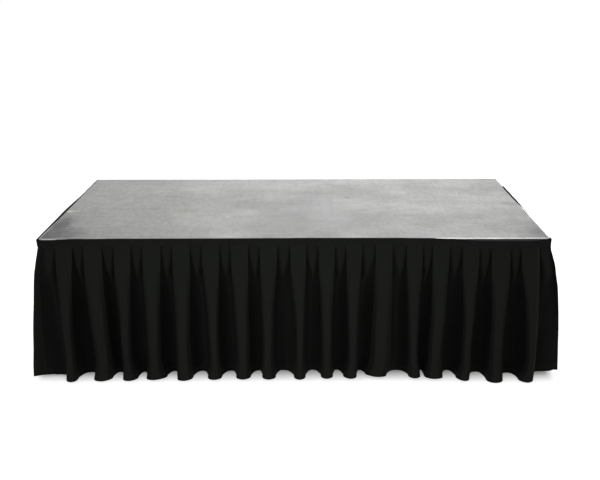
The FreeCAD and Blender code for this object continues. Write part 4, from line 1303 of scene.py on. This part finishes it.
header_left = build_header(
    "left_header_band", -OVER_CORNER, END_LENGTH, LEFT_PLEATS, on_left, left_top, left_rise)
header_right = build_header(
    "right_header_band", -OVER_CORNER, END_LENGTH, RIGHT_PLEATS, on_right, right_top, right_rise)

# %% The bands take their places
for band, node in ((header_front, "skirt_header_front"), (header_left, "skirt_header_left"),
                   (header_right, "skirt_header_right")):
    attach(band, "root")
    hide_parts(node)
print("bands", header_front.name, header_left.name, header_right.name)

# %% [markdown]
# ## How much cloth there is
# A shape alone doesn't tell how much cloth is in it. Before it was pleated, the front was cut from
# about 3.75 m of cloth for 2 m of deck. The lengths come from adding up the panels, the gaps and
# what is folded away behind them.

# %% [markdown]
# ## The floor
# A product picture like this has a white floor that runs out of sight. It could be lit until it is
# white, but that would wash out the skirt. The floor here is a plain pale sheet that also glows a
# little, for the camera and in reflections only, so that it reaches white and sends no light into
# the skirt. Under the deck, and just behind the line of the front hem, the glow is turned down by
# place on the floor: a painted shadow, which shows in the gaps under the hem.

# %% Floor
FLOOR_SHADE = [
    # axis, where the floor is clear of the skirt's shade, and where it is fully under it
    ("x", 1.08, 1.03),
    ("y", -0.54, -0.39),
    ("y", 0.45, -0.36),
]
FLOOR_GLOW, SHADED_GLOW = 0.82, 0.08


def seen_rays(tree):
    """1 for what the camera sees, also in reflections and through glass, and 0 for the rest."""
    rays = put(tree, "LightPath").outputs
    mirrored = reckon(tree, "MAXIMUM", rays["Is Camera Ray"], rays["Is Glossy Ray"])
    return reckon(tree, "MAXIMUM", mirrored, rays["Is Transmission Ray"])


def floor_shade(tree):
    """1 where the floor is deep under the skirt, and 0 where it is clear of it."""
    x, y = put(tree, "SeparateXYZ", {0: put(tree, "NewGeometry").outputs["Position"]}).outputs[:2]
    across = {"x": reckon(tree, "ABSOLUTE", x, 0.0), "y": y}
    shade = 1.0
    for axis, clear, under in FLOOR_SHADE:
        shade = reckon(tree, "MULTIPLY", ramp(tree, across[axis], clear, under), shade)
    return shade


def make_floor():
    """A large plane with the glowing finish; it belongs to the picture, and not to the part."""
    bpy.ops.object.select_all(action="DESELECT")
    bpy.ops.mesh.primitive_plane_add(size=60, location=(0, 0, 0))
    floor = bpy.context.object
    floor.name = "floor"
    material = bpy.data.materials.new("floor")
    material.use_nodes = True
    tree = material.node_tree
    tree.nodes.clear()
    matt = put(tree, "BsdfDiffuse", {"Color": grey(0.76)})
    # Painted shadow: the glow is turned down under the deck by place on the floor.
    level = spread(tree, floor_shade(tree), FLOOR_GLOW, SHADED_GLOW)
    strength = reckon(tree, "MULTIPLY", seen_rays(tree), level)
    glow = put(tree, "Emission", {"Color": grey(1), "Strength": strength})
    both = put(tree, "AddShader", {0: matt.outputs[0], 1: glow.outputs[0]})
    put(tree, "OutputMaterial", {0: both.outputs[0]})
    floor.data.materials.append(material)
    return floor


floor = make_floor()
print("floor", round(floor.dimensions.x), "m across")

# %% [markdown]
# ## The backdrop
# The backdrop is white to look at, but a white sky would light the skirt too much. The same rays
# that see the floor's glow see a white world, and all the others see an even grey one.

# %% Backdrop
SKY_LIGHT, SKY_SEEN = 0.38, 1.0


def make_world():
    """White for the camera and for reflections, and an even grey light for the rest."""
    world = bpy.data.worlds.new("studio")
    bpy.context.scene.world = world
    world.use_nodes = True
    tree = world.node_tree
    tree.nodes.clear()
    strength = spread(tree, seen_rays(tree), SKY_LIGHT, SKY_SEEN)
    sky = put(tree, "Background", {"Color": grey(1), "Strength": strength})
    put(tree, "OutputWorld", {0: sky.outputs[0]})
    return world


world = make_world()
print("world", world.name)

# %% [markdown]
# ## The lamps
# Broad soft boxes stand where a studio has them: a small one low in front that opens the folds, a
# large one high behind that rakes the deck and shows its wear, and one high at the left. Hard
# lamps would draw sharp shadows that the picture doesn't have.

# %% Lamps
LAMPS = [
    # name, place, what it faces, size, power in watts
    ("front box", (0.0, -2.05, 0.65), (-0.04, -0.47, 0.25), 0.9, 12),
    ("top box", (0.50, 3.0, 2.6), (0.10, 0.25, 0.6), 3.0, 82),
    ("left box", (-2.2, -2.4, 3.2), (0, 0, 0.5), 2.4, 13),
]


def add_lamp(name, place, target, size, power):
    """A square soft box that faces a point."""
    lamp = bpy.data.lights.new(name, "AREA")
    lamp.size = size
    lamp.energy = power
    holder = bpy.data.objects.new(name, lamp)
    bpy.context.scene.collection.objects.link(holder)
    holder.visible_camera = False
    holder.location = place
    holder.rotation_mode = "QUATERNION"
    holder.rotation_quaternion = (Vector(target) - Vector(place)).to_track_quat("-Z", "Y")


for lamp in LAMPS:
    add_lamp(*lamp)
print("lamps", [lamp[0] for lamp in LAMPS])

# %% [markdown]
# ## Colour, and the end
# The Standard view shows a colour as it is written.

# %% Finish
bpy.context.scene.view_settings.view_transform = "Standard"
bpy.context.view_layer.update()
